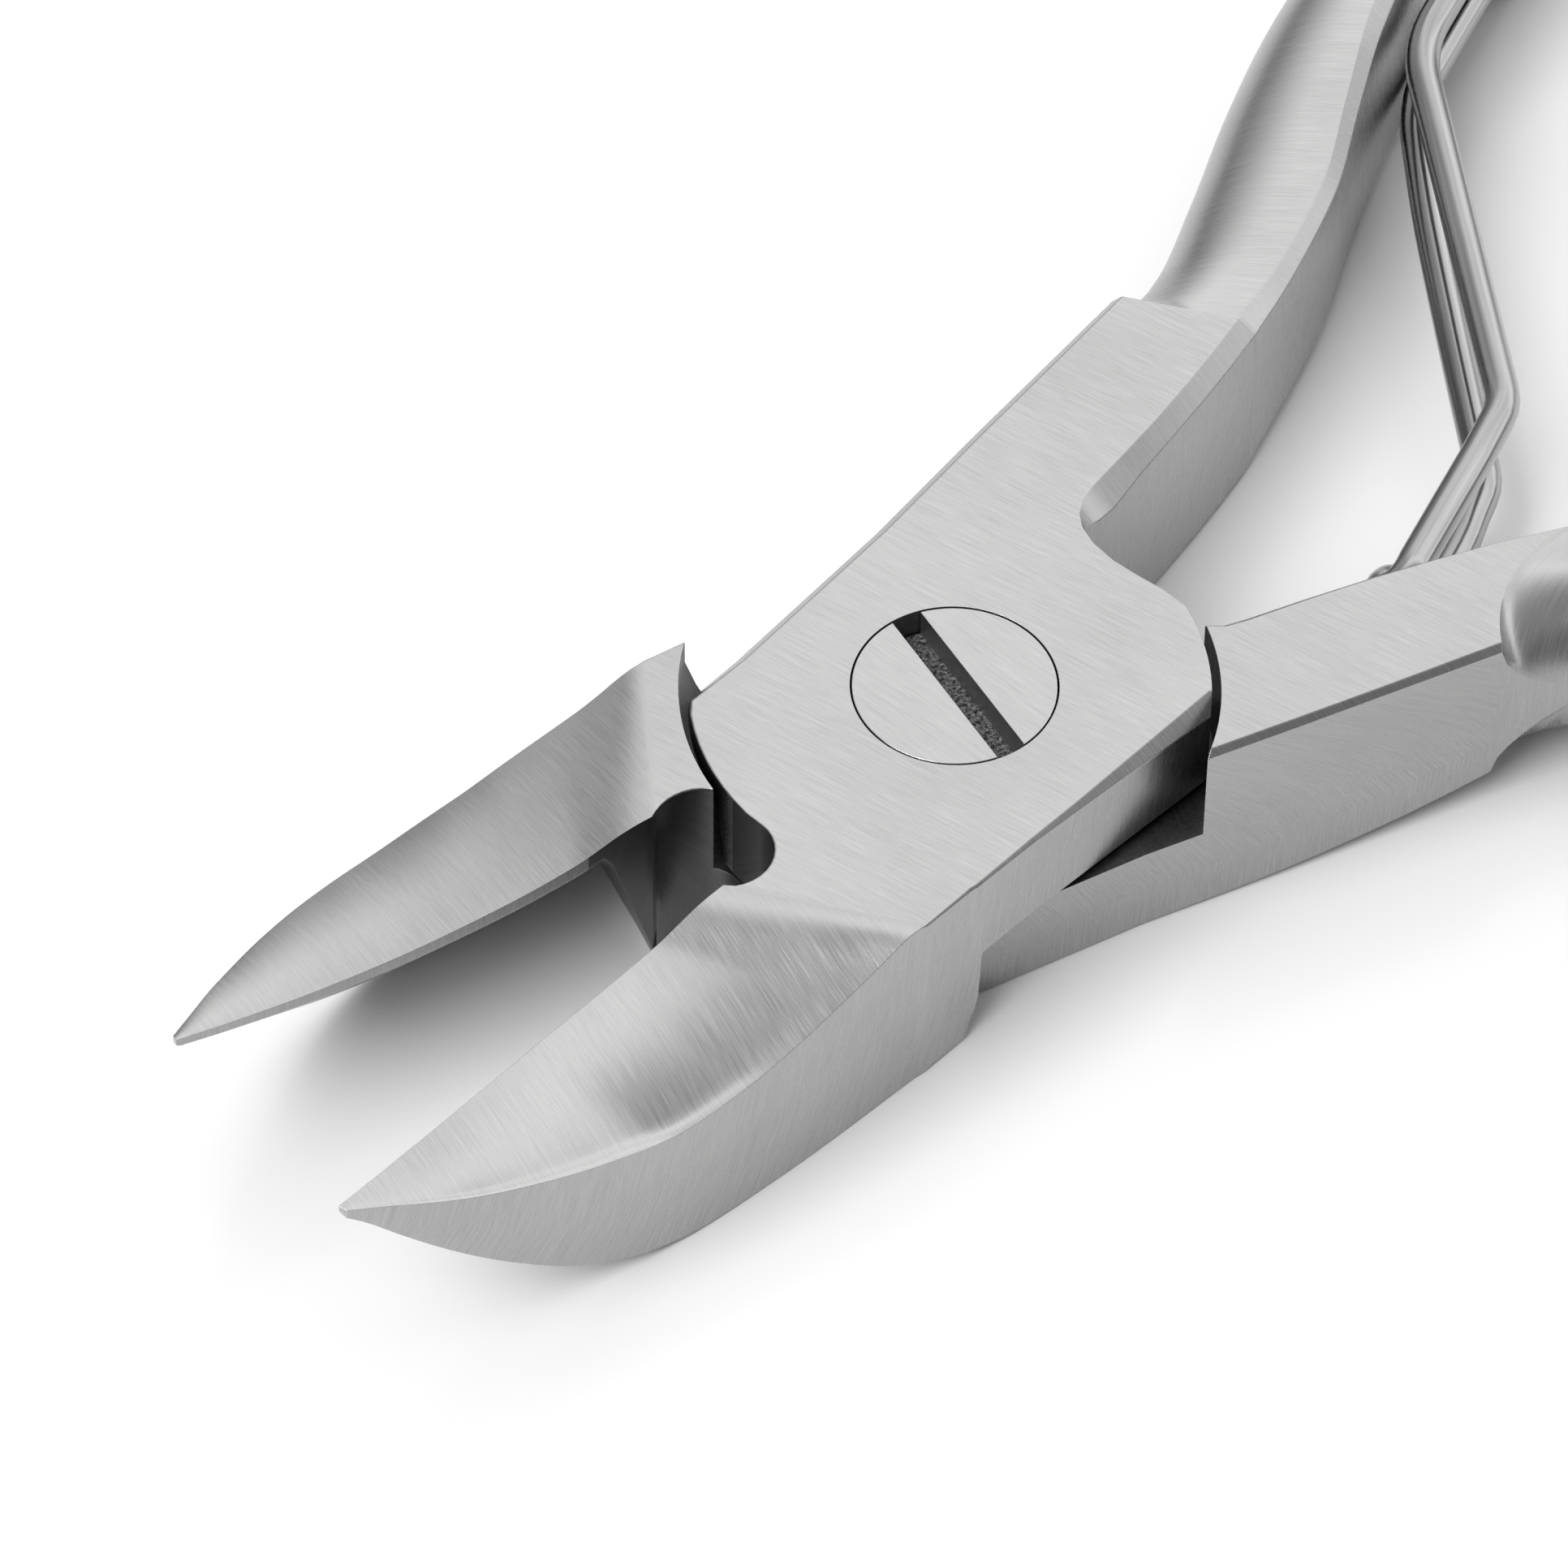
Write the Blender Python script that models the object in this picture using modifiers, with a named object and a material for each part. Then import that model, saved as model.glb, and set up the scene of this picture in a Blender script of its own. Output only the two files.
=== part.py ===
"""Heavy nail nipper, plier type: two forged levers on a lap joint, a flush
slotted pivot screw and a two-strand wire spring.

Frame: metres, +Z up. The nipper lies flat on z = 0 in its open, sprung
position. +X runs from the pivot to the jaw tips, and the pivot axis is
parallel to Z. Each lever is drawn in its own closed position (cutting edge
along local +X, origin on the pivot axis, z = 0 on the upper face, in
millimetres) and is then turned half the opening angle about the pivot.
"""
import bpy
import bmesh
import math
from mathutils import Vector, Matrix

# ---------------------------------------------------------------- dimensions
MM = 0.001
THICK = 7.5                 # full lever thickness
HALF_OPEN = 7.9             # each lever stands this many degrees off closed
PIVOT_X, PIVOT_Y = 37.73, 0.0   # pivot axis in the part's frame
PLATE_LOW = -3.6            # underside of the upper lap plate
FLOOR_TOP = -3.9            # top of the lower lap plate

TIP_X = 28.3                # jaw tip
EDGE_X = 11.14              # where the cutting edge meets the flat face
ROOT_X = 8.2                # where the hollow bevel meets the outer wall
EDGE_CROWN = 0.27           # crown of the cutting edge in plan
LIP = 0.87                  # share of the bevel before its raised outer lip
RELIEF = (10.0, -0.6, 1.5)  # relief notch: centre x, y and half length

INNER_EDGE_UPPER = 0.62     # chamfer along the inner top edge of lever A
INNER_EDGE_LOWER = 0.20     # the same edge on lever B
OUTER_EDGE_UPPER = 0.36     # chamfer along the outer top edge of lever A
OUTER_EDGE_LOWER = 0.22     # the same edge on lever B
LOW_MAX = 1.35              # outer lower edge, fully rounded off

SHOULDER_JAW = 8.88         # lap recess radius on the jaw side
SHOULDER_HANDLE = 8.55      # lap recess radius on the handle side
RUN_GAP = 0.30              # running gap at the lap shoulders
PLATE_END = 8.25            # round end of the plate, handle side

HEAD_R, HEAD_H = 3.30, 1.90     # pivot screw head
SHANK_R = 2.20
SLOT_W, SLOT_D, SLOT_OFF = 1.03, 1.05, -0.14
SLOT_ANGLE = 80.95          # screwdriver slot, from +X

WIRE_R = 0.60               # spring wire radius
ANCHOR = (-41.90, -11.81)   # centre of the spring pocket in the handle
ANCHOR_ANGLE = 18.0         # pocket direction in the lever's own frame

SEG_JAW, SEG_HANDLE = 26, 34    # stations along jaw and handle
TOP_N, WALL2_N, BOT_N, WALL1_N = 11, 3, 7, 5    # points round one section


# ------------------------------------------------------------------- helpers
def lerp(a, b, t):
    return a + (b - a) * t


def through(stations, x):
    """Monotone cubic through a few (x, value) design stations."""
    xs = [s[0] for s in stations]
    ys = [s[1] for s in stations]
    if xs[0] > xs[-1]:
        xs, ys = xs[::-1], ys[::-1]
    if x <= xs[0]:
        return ys[0]
    if x >= xs[-1]:
        return ys[-1]
    n = len(xs)
    h = [xs[i + 1] - xs[i] for i in range(n - 1)]
    d = [(ys[i + 1] - ys[i]) / h[i] for i in range(n - 1)]
    m = [d[0]] + [0.0] * (n - 2) + [d[-1]]
    for i in range(1, n - 1):
        if d[i - 1] * d[i] > 0:
            w1, w2 = 2 * h[i] + h[i - 1], h[i] + 2 * h[i - 1]
            m[i] = (w1 + w2) / (w1 / d[i - 1] + w2 / d[i])
    for i in range(n - 1):
        if x <= xs[i + 1]:
            t = (x - xs[i]) / h[i]
            t2, t3 = t * t, t * t * t
            return ((2 * t3 - 3 * t2 + 1) * ys[i] + (t3 - 2 * t2 + t) * h[i] * m[i]
                    + (3 * t2 - 2 * t3) * ys[i + 1] + (t3 - t2) * h[i] * m[i + 1])
    return ys[-1]


def polar(r, deg):
    return (r * math.cos(math.radians(deg)), r * math.sin(math.radians(deg)))


def collection(name):
    col = bpy.data.collections.new(name)
    bpy.context.scene.collection.children.link(col)
    return col


def material(name, colour, rough, metal):
    mat = bpy.data.materials.new(name)
    mat.use_nodes = True
    node = mat.node_tree.nodes["Principled BSDF"]
    node.inputs["Base Color"].default_value = (*colour, 1.0)
    node.inputs["Roughness"].default_value = rough
    node.inputs["Metallic"].default_value = metal
    mat.diffuse_color = (*colour, 1.0)
    return mat


def loft(name, rings, col):
    """Closed loft through rings of equal point count (points in mm)."""
    bm = bmesh.new()
    rows = [[bm.verts.new(Vector(p) * MM) for p in ring] for ring in rings]
    n = len(rings[0])
    for a, b in zip(rows, rows[1:]):
        for i in range(n):
            j = (i + 1) % n
            bm.faces.new((a[i], a[j], b[j], b[i]))
    bm.faces.new(rows[0][::-1])
    bm.faces.new(rows[-1])
    bmesh.ops.recalc_face_normals(bm, faces=bm.faces)
    mesh = bpy.data.meshes.new(name)
    bm.to_mesh(mesh)
    bm.free()
    obj = bpy.data.objects.new(name, mesh)
    col.objects.link(obj)
    return obj


def as_cutter(obj, owner):
    obj.location = owner.location
    obj.rotation_euler = owner.rotation_euler
    obj.hide_render = True
    obj.display_type = 'WIRE'


def cut(owner, cutter):
    mod = owner.modifiers.new(cutter.name, 'BOOLEAN')
    mod.operation = 'DIFFERENCE'
    mod.solver = 'EXACT'
    mod.object = cutter


def cylinder(name, r, z0, z1, col, sides=64):
    bm = bmesh.new()
    bmesh.ops.create_cone(bm, cap_ends=True, segments=sides, radius1=r * MM,
                          radius2=r * MM, depth=(z1 - z0) * MM,
                          matrix=Matrix.Translation((0, 0, (z0 + z1) / 2 * MM)))
    mesh = bpy.data.meshes.new(name)
    bm.to_mesh(mesh)
    bm.free()
    obj = bpy.data.objects.new(name, mesh)
    col.objects.link(obj)
    return obj


# -------------------------------------------------------------- lever design
JAW_WALL = ((8.2, 6.0), (12.85, 5.70), (15.05, 5.48), (17.24, 5.2),
            (19.43, 4.75), (21.6, 4.14), (23.78, 3.26), (25.9, 2.11),
            (27.4, 1.12), (28.25, 0.56))
JAW_EDGE_Z = ((11.14, -0.05), (14.0, -0.55), (17.0, -0.75), (20.0, -0.80),
              (23.0, -0.72), (26.0, -0.50), (28.3, -0.25))
JAW_RIDGE_Z = ((8.2, 0.0), (9.3, -0.25), (11.5, -0.83), (13.6, -1.38),
               (15.4, -1.74), (18.2, -1.95), (20.6, -1.60), (22.9, -1.22),
               (25.0, -0.90), (26.8, -0.52), (28.25, -0.28))
JAW_RIDGE_LOWER_Z = ((8.2, 0.0), (8.8, -0.16), (9.6, -0.50), (11.5, -0.98), (13.6, -1.42),
                     (15.4, -1.74), (18.2, -1.95), (20.6, -1.78), (22.9, -1.48),
                     (25.0, -1.12), (26.8, -0.68), (28.25, -0.36))
JAW_BOTTOM_Z = ((15.5, -7.5), (17.3, -7.47), (19.05, -7.24), (20.7, -6.67),
                (22.0, -6.03), (23.4, -5.07), (25.0, -3.80), (26.9, -1.98),
                (27.8, -1.02), (28.3, -0.62))
# handle rails past the flat: distance code, outer x, outer y, inner x, inner y
HANDLE = ((0.0, -16.35, -7.78, -18.40, -3.95), (1.0, -19.5, -8.55, -21.3, -4.75),
          (2.0, -23.2, -10.15, -25.3, -6.05), (3.0, -27.2, -12.05, -29.2, -7.75),
          (4.0, -31.5, -13.75, -33.3, -9.40), (5.0, -36.5, -15.1, -37.0, -10.65),
          (6.0, -40.5, -15.75, -40.0, -11.20), (7.0, -45.0, -15.85, -44.5, -10.80),
          (8.0, -54.0, -14.95, -53.6, -9.70), (9.0, -66.0, -13.0, -65.6, -7.75),
          (10.0, -80.0, -10.6, -79.6, -5.50), (11.0, -94.0, -8.35, -93.7, -3.55),
          (12.0, -102.5, -7.25, -102.3, -2.75))


def shoulder(angle, depth):
    """Lap recess radius, jaw side. depth runs 0 at the open face to 1 at the
    lap floor; the fillet is absent near the mouth and full beyond it."""
    fade = min(max((abs(angle) - 16.0) / 10.0, 0.0), 1.0)
    fillet = 0.02 + 0.70 * max(depth - 0.27, 0.0) / 0.73
    return SHOULDER_JAW - fillet * fade


def rails(lower):
    """Plan outline of a lever as two matched rails, tip to handle end.
    Returns (kind, rail 1 point, rail 2 point, station value)."""
    out = []
    for i in range(SEG_JAW + 1):
        s = (i / SEG_JAW) ** 1.12
        xe, xw = lerp(TIP_X, EDGE_X, s), lerp(28.25, ROOT_X, s)
        ye = EDGE_CROWN * (1.0 - math.sin(math.pi * (xe - EDGE_X) / (TIP_X - EDGE_X)))
        out.append(('jaw', (xe, ye), (xw, through(JAW_WALL, xw)), s))
    cx, cy, rx = RELIEF
    ry = 1.25 if lower else 1.42
    for i in range(1, 13):                      # relief notch
        a = math.radians(lerp(40.5, 180.0, i / 12))
        out.append(('plate', (cx + rx * math.cos(a), cy + ry * math.sin(a)),
                    (lerp(ROOT_X, 5.9, i / 12), 6.02), 0.0))
    corner = -50.5 if lower else -43.0
    for i in range(9):                          # end arc at the far shoulder
        a = lerp(-8.6, corner, i / 8)
        r = SHOULDER_JAW - RUN_GAP
        if lower:
            r = shoulder(a, 1.0) - RUN_GAP
        out.append(('plate', polar(r, a), (lerp(5.7, 3.0, i / 8), 6.06), 0.0))
    cx, cy = out[-1][1]
    for i in range(1, 5):                       # straight outer edge
        out.append(('plate', (lerp(cx, -3.3, i / 4), lerp(cy, -6.45, i / 4)),
                    (lerp(3.0, -5.45, i / 4), 6.10), 0.0))
    end = []
    for i in range(7):                          # round end of the plate
        end.append(polar(PLATE_END, lerp(133.0, 157.5, i / 6)))
    notch = ((2.2, -7.66), (1.2, -7.56), (0.2, -7.50), (-0.8, -7.62),
             (-1.55, -7.90), (-2.05, -8.30), (-2.38, -8.85), (-2.52, -9.60))
    end += [(x, y) for y, x in notch]
    for i, p in enumerate(end):
        t = (i + 1) / len(end)
        out.append(('plate', (lerp(-3.5, -8.6, t), lerp(-6.47, -7.02, t)), p, 0.0))
    for i in range(1, 6):                       # flat run of the handle
        t = i / 5
        xi = lerp(-9.6, -20.8 if lower else -18.4, t)
        out.append(('plate', (lerp(-8.6, -15.95 if lower else -16.35, t), lerp(-7.02, -7.75, t)),
                    (xi, through(((-9.6, -2.52), (-13.1, -2.95), (-16.0, -3.45),
                                  (-18.4, -3.95), (-20.8, -4.58)), xi)), 0.0))
    codes = [0.06, 0.16, 0.30, 0.5, 0.75] + [
        lerp(1.0, 12.0, (i / (SEG_HANDLE - 6)) ** 0.95) for i in range(SEG_HANDLE - 5)]
    for c in codes:
        o = (through([(k[0], k[1]) for k in HANDLE], c), through([(k[0], k[2]) for k in HANDLE], c))
        if lower:                               # the flat ends a little sooner
            o = (o[0] + 0.4 * max(0.0, 1.0 - c), o[1] + 0.03 * max(0.0, 1.0 - c))
        ci = 0.84 + c * 11.16 / 12.0 if lower else c
        n = (through([(k[0], k[3]) for k in HANDLE], ci), through([(k[0], k[4]) for k in HANDLE], ci))
        out.append(('handle', o, n, c))
    o, n = out[-1][1], out[-1][2]
    mid, half = (o[1] + n[1]) / 2, (o[1] - n[1]) / 2
    for i in range(1, 6):                       # rounded handle end
        a = math.radians(15.0 * i)
        x = o[0] - 2.6 * math.sin(a)
        k = math.cos(a)
        out.append(('end', (x, mid + half * k), (x, mid - half * k), k))
    return out


def flat_section(p1, p2, top1, top2, low1=0.12, bow=0.0):
    """Rectangular section. Rail 1 is the outer wall, chamfered by top1 above
    and low1 below; rail 2 is the upper edge of a chamfer top2 wide."""
    a, b = Vector(p1), Vector(p2)
    d = (b - a).normalized()
    span = (b - a).length + top2
    side = Vector((d.y, -d.x))
    if side.x < 0:
        side = -side
    low2 = min(0.30, 0.12 + top2 * 0.3)
    pts = []
    for j in range(TOP_N):
        pts.append((lerp(top1, span - top2, j / (TOP_N - 1)), 0.0))
    for z in (-top2, -THICK / 2, -THICK + low2):
        pts.append((span, z))
    for j in range(BOT_N):
        pts.append((lerp(span - low2, 0.8 * low1, j / (BOT_N - 1)), -THICK))
    for j in range(WALL1_N):
        pts.append((0.0, lerp(-THICK + low1, -top1, j / (WALL1_N - 1))))
    out = []
    for u, z in pts:
        q = a + d * u + side * (bow * 4 * (u / span) * (1 - u / span))
        out.append((q.x, q.y, z))
    return out


def bevel_fall(u):
    """Share of the bevel's fall reached at u, cutting edge 0 to ridge 1: level
    beside the edge, steeper outward, then turned up into a narrow lip."""
    if u < LIP:
        return (0.06 * u + 0.1513 * (u / LIP) ** 2.3) / 0.217
    t = u - LIP
    return (0.2035 + 0.46 * t - 2.731 * t * t) / 0.217


def jaw_section(p1, p2, s, lower):
    """Ground bevel on top, flat outer wall, undercut inner side."""
    a, b = Vector(p1), Vector(p2)
    span = (b - a).length
    d = (b - a) / span
    ze = through(JAW_EDGE_Z, p1[0])
    zr = through(JAW_RIDGE_LOWER_Z if lower else JAW_RIDGE_Z, p2[0])
    zb = through(JAW_BOTTOM_Z, p2[0])
    if s > 0.999:
        ze = zr = 0.0
    pts = []
    for j in range(TOP_N):
        u = j / (TOP_N - 1)
        pts.append((span * u, lerp(ze, zr, bevel_fall(u))))
    pts += [(span, zr - 0.06), (span, (zr + zb) / 2), (span, zb + 0.06)]
    foot = through(((11.14, 0.085), (12.0, 0.50), (13.0, 0.92), (28.3, 0.92)), p1[0])
    land = through(((11.14, -6.6), (12.0, -3.6), (13.0, ze - 0.62), (18.0, ze - 0.52),
                    (28.3, ze - 0.36)), p1[0])
    land = max(land, zb + 0.12)
    for j in range(BOT_N):
        pts.append((lerp(span * 0.985, span * foot, j / (BOT_N - 1)), zb))
    for j in range(1, WALL1_N + 1):
        t = j / WALL1_N
        pts.append((span * foot * (1 - t) - 0.25 * foot * span / 5.4 * 4 * t * (1 - t) * 0.5,
                    lerp(zb, land, t) + 0.02 * t))
    pts = [(max(u, 0.0), z) for u, z in pts]
    return [(a.x + d.x * u, a.y + d.y * u, z) for u, z in pts]


def handle_section(p1, p2, code, bow, edge, outer):
    """Flat inner side, heavily rounded outer side; fades in past the flat."""
    a, b = Vector(p1), Vector(p2)
    d = (b - a).normalized()
    side = Vector((d.y, -d.x))
    if side.x < 0:
        side = -side
    c2 = through(((0.0, edge), (1.5, 0.48), (3.0, 0.50), (5.0, 0.60), (8.0, 0.90), (12.0, 1.1)), code)
    span = (b - a).length + 0.62 * through(((0.0, edge / 0.62), (1.0, 0.9), (2.5, 0.5), (4.0, 0.1), (5.0, 0.0), (12.0, 0.0)), code)
    zt = through(((0.0, -0.05), (1.0, -0.22), (6.0, -0.30), (12.0, -0.85)), code)
    zb = -THICK - zt
    high = zt - zb
    ea, eb = min(3.3, span * 0.68), min(2.75, 0.42 * high)
    lean = through(((0.0, 0.0), (2.0, 0.05), (3.0, 0.30), (4.0, 0.65), (5.0, 0.80),
                    (6.0, 0.80), (8.0, 0.50), (12.0, 0.35)), code)
    foot = through(((0.0, 0.0), (4.0, 0.12), (8.0, 0.40), (12.0, 0.35)), code)
    rnd = []
    for j in range(8):
        t = math.radians(90.0 * j / 7)
        rnd.append((ea * (1 - math.cos(t)), zt - eb + eb * math.sin(t)))
    ea = min(ea, span - c2 - lean - 0.4)
    rnd = [(u * ea / rnd[-1][0] if rnd[-1][0] > ea else u, z) for u, z in rnd]
    for j in range(1, 4):
        rnd.append((lerp(ea, span - c2 - lean, j / 3), zt))
    rnd += [(span - lean, zt - c2), (span - lean * 0.35, -THICK / 2), (span - foot, zb + c2 * 0.8)]
    rnd.append((span - c2 - foot, zb))
    fa, fb = min(4.5, span * 0.78), min(3.7, 0.50 * high)
    for j in range(BOT_N - 1):
        t = math.radians(90.0 * (1 - j / (BOT_N - 2)))
        rnd.append((fa * (1 - math.cos(t)), zb + fb - fb * math.sin(t)))
    for j in range(WALL1_N):
        rnd.append((0.0, lerp(zb + fb, zt - eb, (j + 1) / (WALL1_N + 1))))
    flat = flat_section((0, 0), (span - edge, 0), outer, edge, LOW_MAX)
    m = min(1.0, code / 0.75) ** 0.55
    fade = max(0.0, 1.0 - code / 1.5)
    out = []
    for (u0, _, z0), (u1, z1) in zip(flat, rnd):
        u, z = lerp(u0, u1, m), lerp(z0, z1, m)
        k = bow * fade * 4 * (u / span) * (1 - u / span)
        q = a + d * u + side * k
        out.append((q.x, q.y, z))
    return out


def end_section(ring, k, ref):
    """Shrink the last handle section into a rounded end."""
    (p1, p2), (r1, r2) = k, ref
    out = []
    a, b = Vector(r1), Vector(r2)
    na, nb = Vector(p1), Vector(p2)
    ratio = (nb - na).length / (b - a).length
    zm = -THICK / 2
    for x, y, z in ring:
        u = (Vector((x, y)) - a).dot((b - a).normalized()) / (b - a).length
        q = na + (nb - na) * u
        out.append((q.x, q.y, zm + (z - zm) * max(ratio, 0.05) ** 0.9))
    return out


def lever_rings(lower, bow):
    edge = INNER_EDGE_LOWER if lower else INNER_EDGE_UPPER
    outer = OUTER_EDGE_LOWER if lower else OUTER_EDGE_UPPER
    rings = []
    last = None
    for kind, p1, p2, val in rails(lower):
        if kind == 'jaw':
            rings.append(jaw_section(p1, p2, val, lower))
        elif kind == 'plate':
            c1 = 0.06
            if p1[1] < -5.6:
                c1 = outer * through(((6.6, 0.3), (5.0, 1.0), (-20.0, 1.0)), p1[0])
            if p2[0] < -7.9 and p2[1] < 0:
                c2 = edge * through(((-7.9, 0.25), (-8.9, 1.1), (-10.0, 1.25), (-12.0, 1.0), (-18.4, 1.0)), p2[0])
            elif p2[1] > 5.9:
                c2 = through(((8.2, 0.06), (3.0, 0.14), (-5.6, 0.55)), p2[0])
            else:
                c2 = 0.10
            low1 = 0.12
            if p1[1] < -5.6:
                low1 = through(((-3.0, 0.12), (-7.0, 0.2), (-9.5, 0.35), (-11.0, 0.5),
                                (-13.5, 0.85), (-16.0, LOW_MAX)), p1[0])
            k = bow * min(max((-11.0 - p1[0]) / 5.0, 0.0), 1.0)
            rings.append(flat_section(p1, p2, c1, c2, low1, k))
        elif kind == 'handle':
            rings.append(handle_section(p1, p2, val, bow, edge, outer))
            last = (rings[-1], (p1, p2))
        else:
            rings.append(end_section(last[0], (p1, p2), last[1]))
    return rings


def recess(name, lower_face, col):
    """Lap recess cutter: upper half (lever B) or lower half (lever A)."""
    if lower_face:      # removes everything under the upper plate
        levels = ((-9.0, 0.0), (-THICK, 0.0), (-5.7, 0.90), (PLATE_LOW, 1.0))
    else:               # removes everything over the lower plate
        levels = ((FLOOR_TOP, 1.0), (-1.05, 0.27), (0.0, 0.0), (1.5, 0.0))
    rings = []
    n = 96
    for z, depth in levels:
        ring = []
        for i in range(n):
            a = 360.0 * i / n
            a = a - 360.0 if a > 180.0 else a
            if abs(a) < 90:
                r = shoulder(a, depth)
                if lower_face and z <= -THICK:
                    r = min(r, lerp(SHOULDER_JAW, 8.62, min(max((abs(a) - 16) / 10, 0), 1)))
            else:
                r = SHOULDER_HANDLE
            ring.append((*polar(r, a), z))
        rings.append(ring)
    return loft(name, rings, col)


def collar(name, col):
    """Trims the upper plate's end to the shape of the shoulder it turns by."""
    rings = []
    for i in range(19):
        a = lerp(-66.0, -14.0, i / 18)
        ring = []
        for z, depth in ((0.6, 0.0), (-1.0, 0.27), (PLATE_LOW - 0.15, 1.0), (-9.0, 1.0)):
            ring.append((*polar(shoulder(a, depth) - RUN_GAP, a), z))
        ring.append((*polar(12.5, a), -9.0))
        ring.append((*polar(12.5, a), 0.6))
        rings.append(ring)
    return loft(name, rings, col)


def end_ring(name, mirror, col):
    """Trims a lap plate's corner to the round end it turns by."""
    rings = []
    for i in range(22):
        a = lerp(114.0, 172.0, i / 21)
        rings.append([(*polar(r, a), z) for r, z in
                      ((PLATE_END, 0.6), (PLATE_END, -9.0), (12.5, -9.0), (12.5, 0.6))])
    if mirror:
        rings = [[(x, -y, z) for x, y, z in ring] for ring in rings]
    return loft(name, rings, col)


def box_cutter(name, size, centre, angle, col):
    bm = bmesh.new()
    mat = (Matrix.Translation(Vector(centre) * MM) @ Matrix.Rotation(math.radians(angle), 4, 'Z')
           @ Matrix.Diagonal((size[0] * MM, size[1] * MM, size[2] * MM, 1.0)))
    bmesh.ops.create_cube(bm, size=1.0, matrix=mat)
    mesh = bpy.data.meshes.new(name)
    bm.to_mesh(mesh)
    bm.free()
    obj = bpy.data.objects.new(name, mesh)
    col.objects.link(obj)
    return obj


def lever(name, lower, turn, bow, parts, cutters):
    rings = lever_rings(lower, bow)
    if lower:
        rings = [[(x, -y, z) for x, y, z in ring] for ring in rings]
    obj = loft(name, rings, parts)
    obj.location = (PIVOT_X * MM, PIVOT_Y * MM, THICK * MM)
    obj.rotation_euler = (0.0, 0.0, math.radians(turn))
    obj.data.shade_smooth()
    obj.data.set_sharp_from_angle(angle=math.radians(24))
    return obj


# --------------------------------------------------------------------- spring
# corners of one formed strand from the pocket to the foot, open position about
# the pivot: x, y, z, bend radius
STRAND = ((-41.75, -18.36, -2.50, 0.0), (-32.46, -13.85, -2.46, 6.0), (-23.25, 0.78, -1.95, 2.6),
          (-20.9, 1.98, -1.86, 4.0), (-16.30, 4.15, -1.80, 0.0))
# the foot: both strands curl off lever B and meet at mid height
FOOT = ((-15.75, 4.42, -1.82), (-15.22, 4.50, -1.98), (-14.95, 4.22, -2.32),
        (-15.20, 3.80, -2.72), (-15.72, 3.52, -3.10), (-16.02, 3.42, -3.42),
        (-16.12, 3.38, -3.75))
SPREAD = ((-32.4, 0.0), (-29.0, 0.42), (-24.0, 0.52), (-22.2, 0.40), (-20.0, 0.05), (-16.0, 0.0))


def filleted(corners, pitch):
    """Straight runs joined by bends of the given radii."""
    pts = [Vector(c[:3]) for c in corners]
    out = [pts[0]]
    for i in range(1, len(pts) - 1):
        a, b = (pts[i - 1] - pts[i]).normalized(), (pts[i + 1] - pts[i]).normalized()
        turn = math.pi - a.angle(b)
        r = corners[i][3]
        t = r * math.tan(turn / 2)
        p, q = pts[i] + a * t, pts[i] + b * t
        c = pts[i] + (a + b).normalized() * (r / math.cos(turn / 2))
        n = max(3, int(r * turn / pitch))
        for k in range(n + 1):
            out.append(c + (p - c).normalized().slerp((q - c).normalized(), k / n) * r)
    out.append(pts[-1])
    return out


def smooth_path(pts, n):
    """Catmull-Rom through the points, n steps a span."""
    v = [Vector(p) for p in pts]
    v = [v[0] * 2 - v[1]] + v + [v[-1] * 2 - v[-2]]
    out = []
    for i in range(1, len(v) - 2):
        p0, p1, p2, p3 = v[i - 1:i + 3]
        for k in range(n):
            t = k / n
            out.append(0.5 * ((2 * p1) + (p2 - p0) * t + (2 * p0 - 5 * p1 + 4 * p2 - p3) * t * t
                              + (3 * p1 - p0 - 3 * p2 + p3) * t ** 3))
    out.append(v[-2])
    return out


def spring(name, parts):
    mid = -THICK / 2
    run = filleted(STRAND, 0.9)
    long = []                                   # keep long straights divided
    for a, b in zip(run, run[1:]):
        n = max(1, int((b - a).length / 2.5))
        long += [a.lerp(b, k / n) for k in range(n)]
    long.append(run[-1])
    foot = smooth_path([long[-2], long[-1]] + list(FOOT), 2)[2:]
    upper = long[:-1] + foot                    # pocket to the middle of the foot
    lower = []
    for p in upper[:-1]:                        # second strand bows out slightly
        lower.append(Vector((p.x + through(SPREAD, p.x) * (p.y < 3.0), p.y, 2 * mid - p.z)))
    path = upper + lower[::-1]
    d = (path[0] - path[1]).normalized()
    bend = []
    turn_r = path[0].z - mid
    for i in range(1, 8):                       # hairpin inside the pocket
        a = math.radians(180.0 * i / 8)
        bend.append(path[0] + d * (turn_r * math.sin(a)) + Vector((0, 0, -turn_r * (1 - math.cos(a)))))
    path += bend[::-1]
    curve = bpy.data.curves.new(name, 'CURVE')
    curve.dimensions = '3D'
    curve.bevel_depth = WIRE_R * MM
    curve.bevel_resolution = 2
    sp = curve.splines.new('POLY')
    sp.points.add(len(path) - 1)
    for pt, p in zip(sp.points, path):
        pt.co = (p.x * MM, p.y * MM, p.z * MM, 1.0)
    sp.use_cyclic_u = True
    obj = bpy.data.objects.new(name, curve)
    parts.objects.link(obj)
    obj.location = (PIVOT_X * MM, PIVOT_Y * MM, THICK * MM)
    return obj


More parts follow.
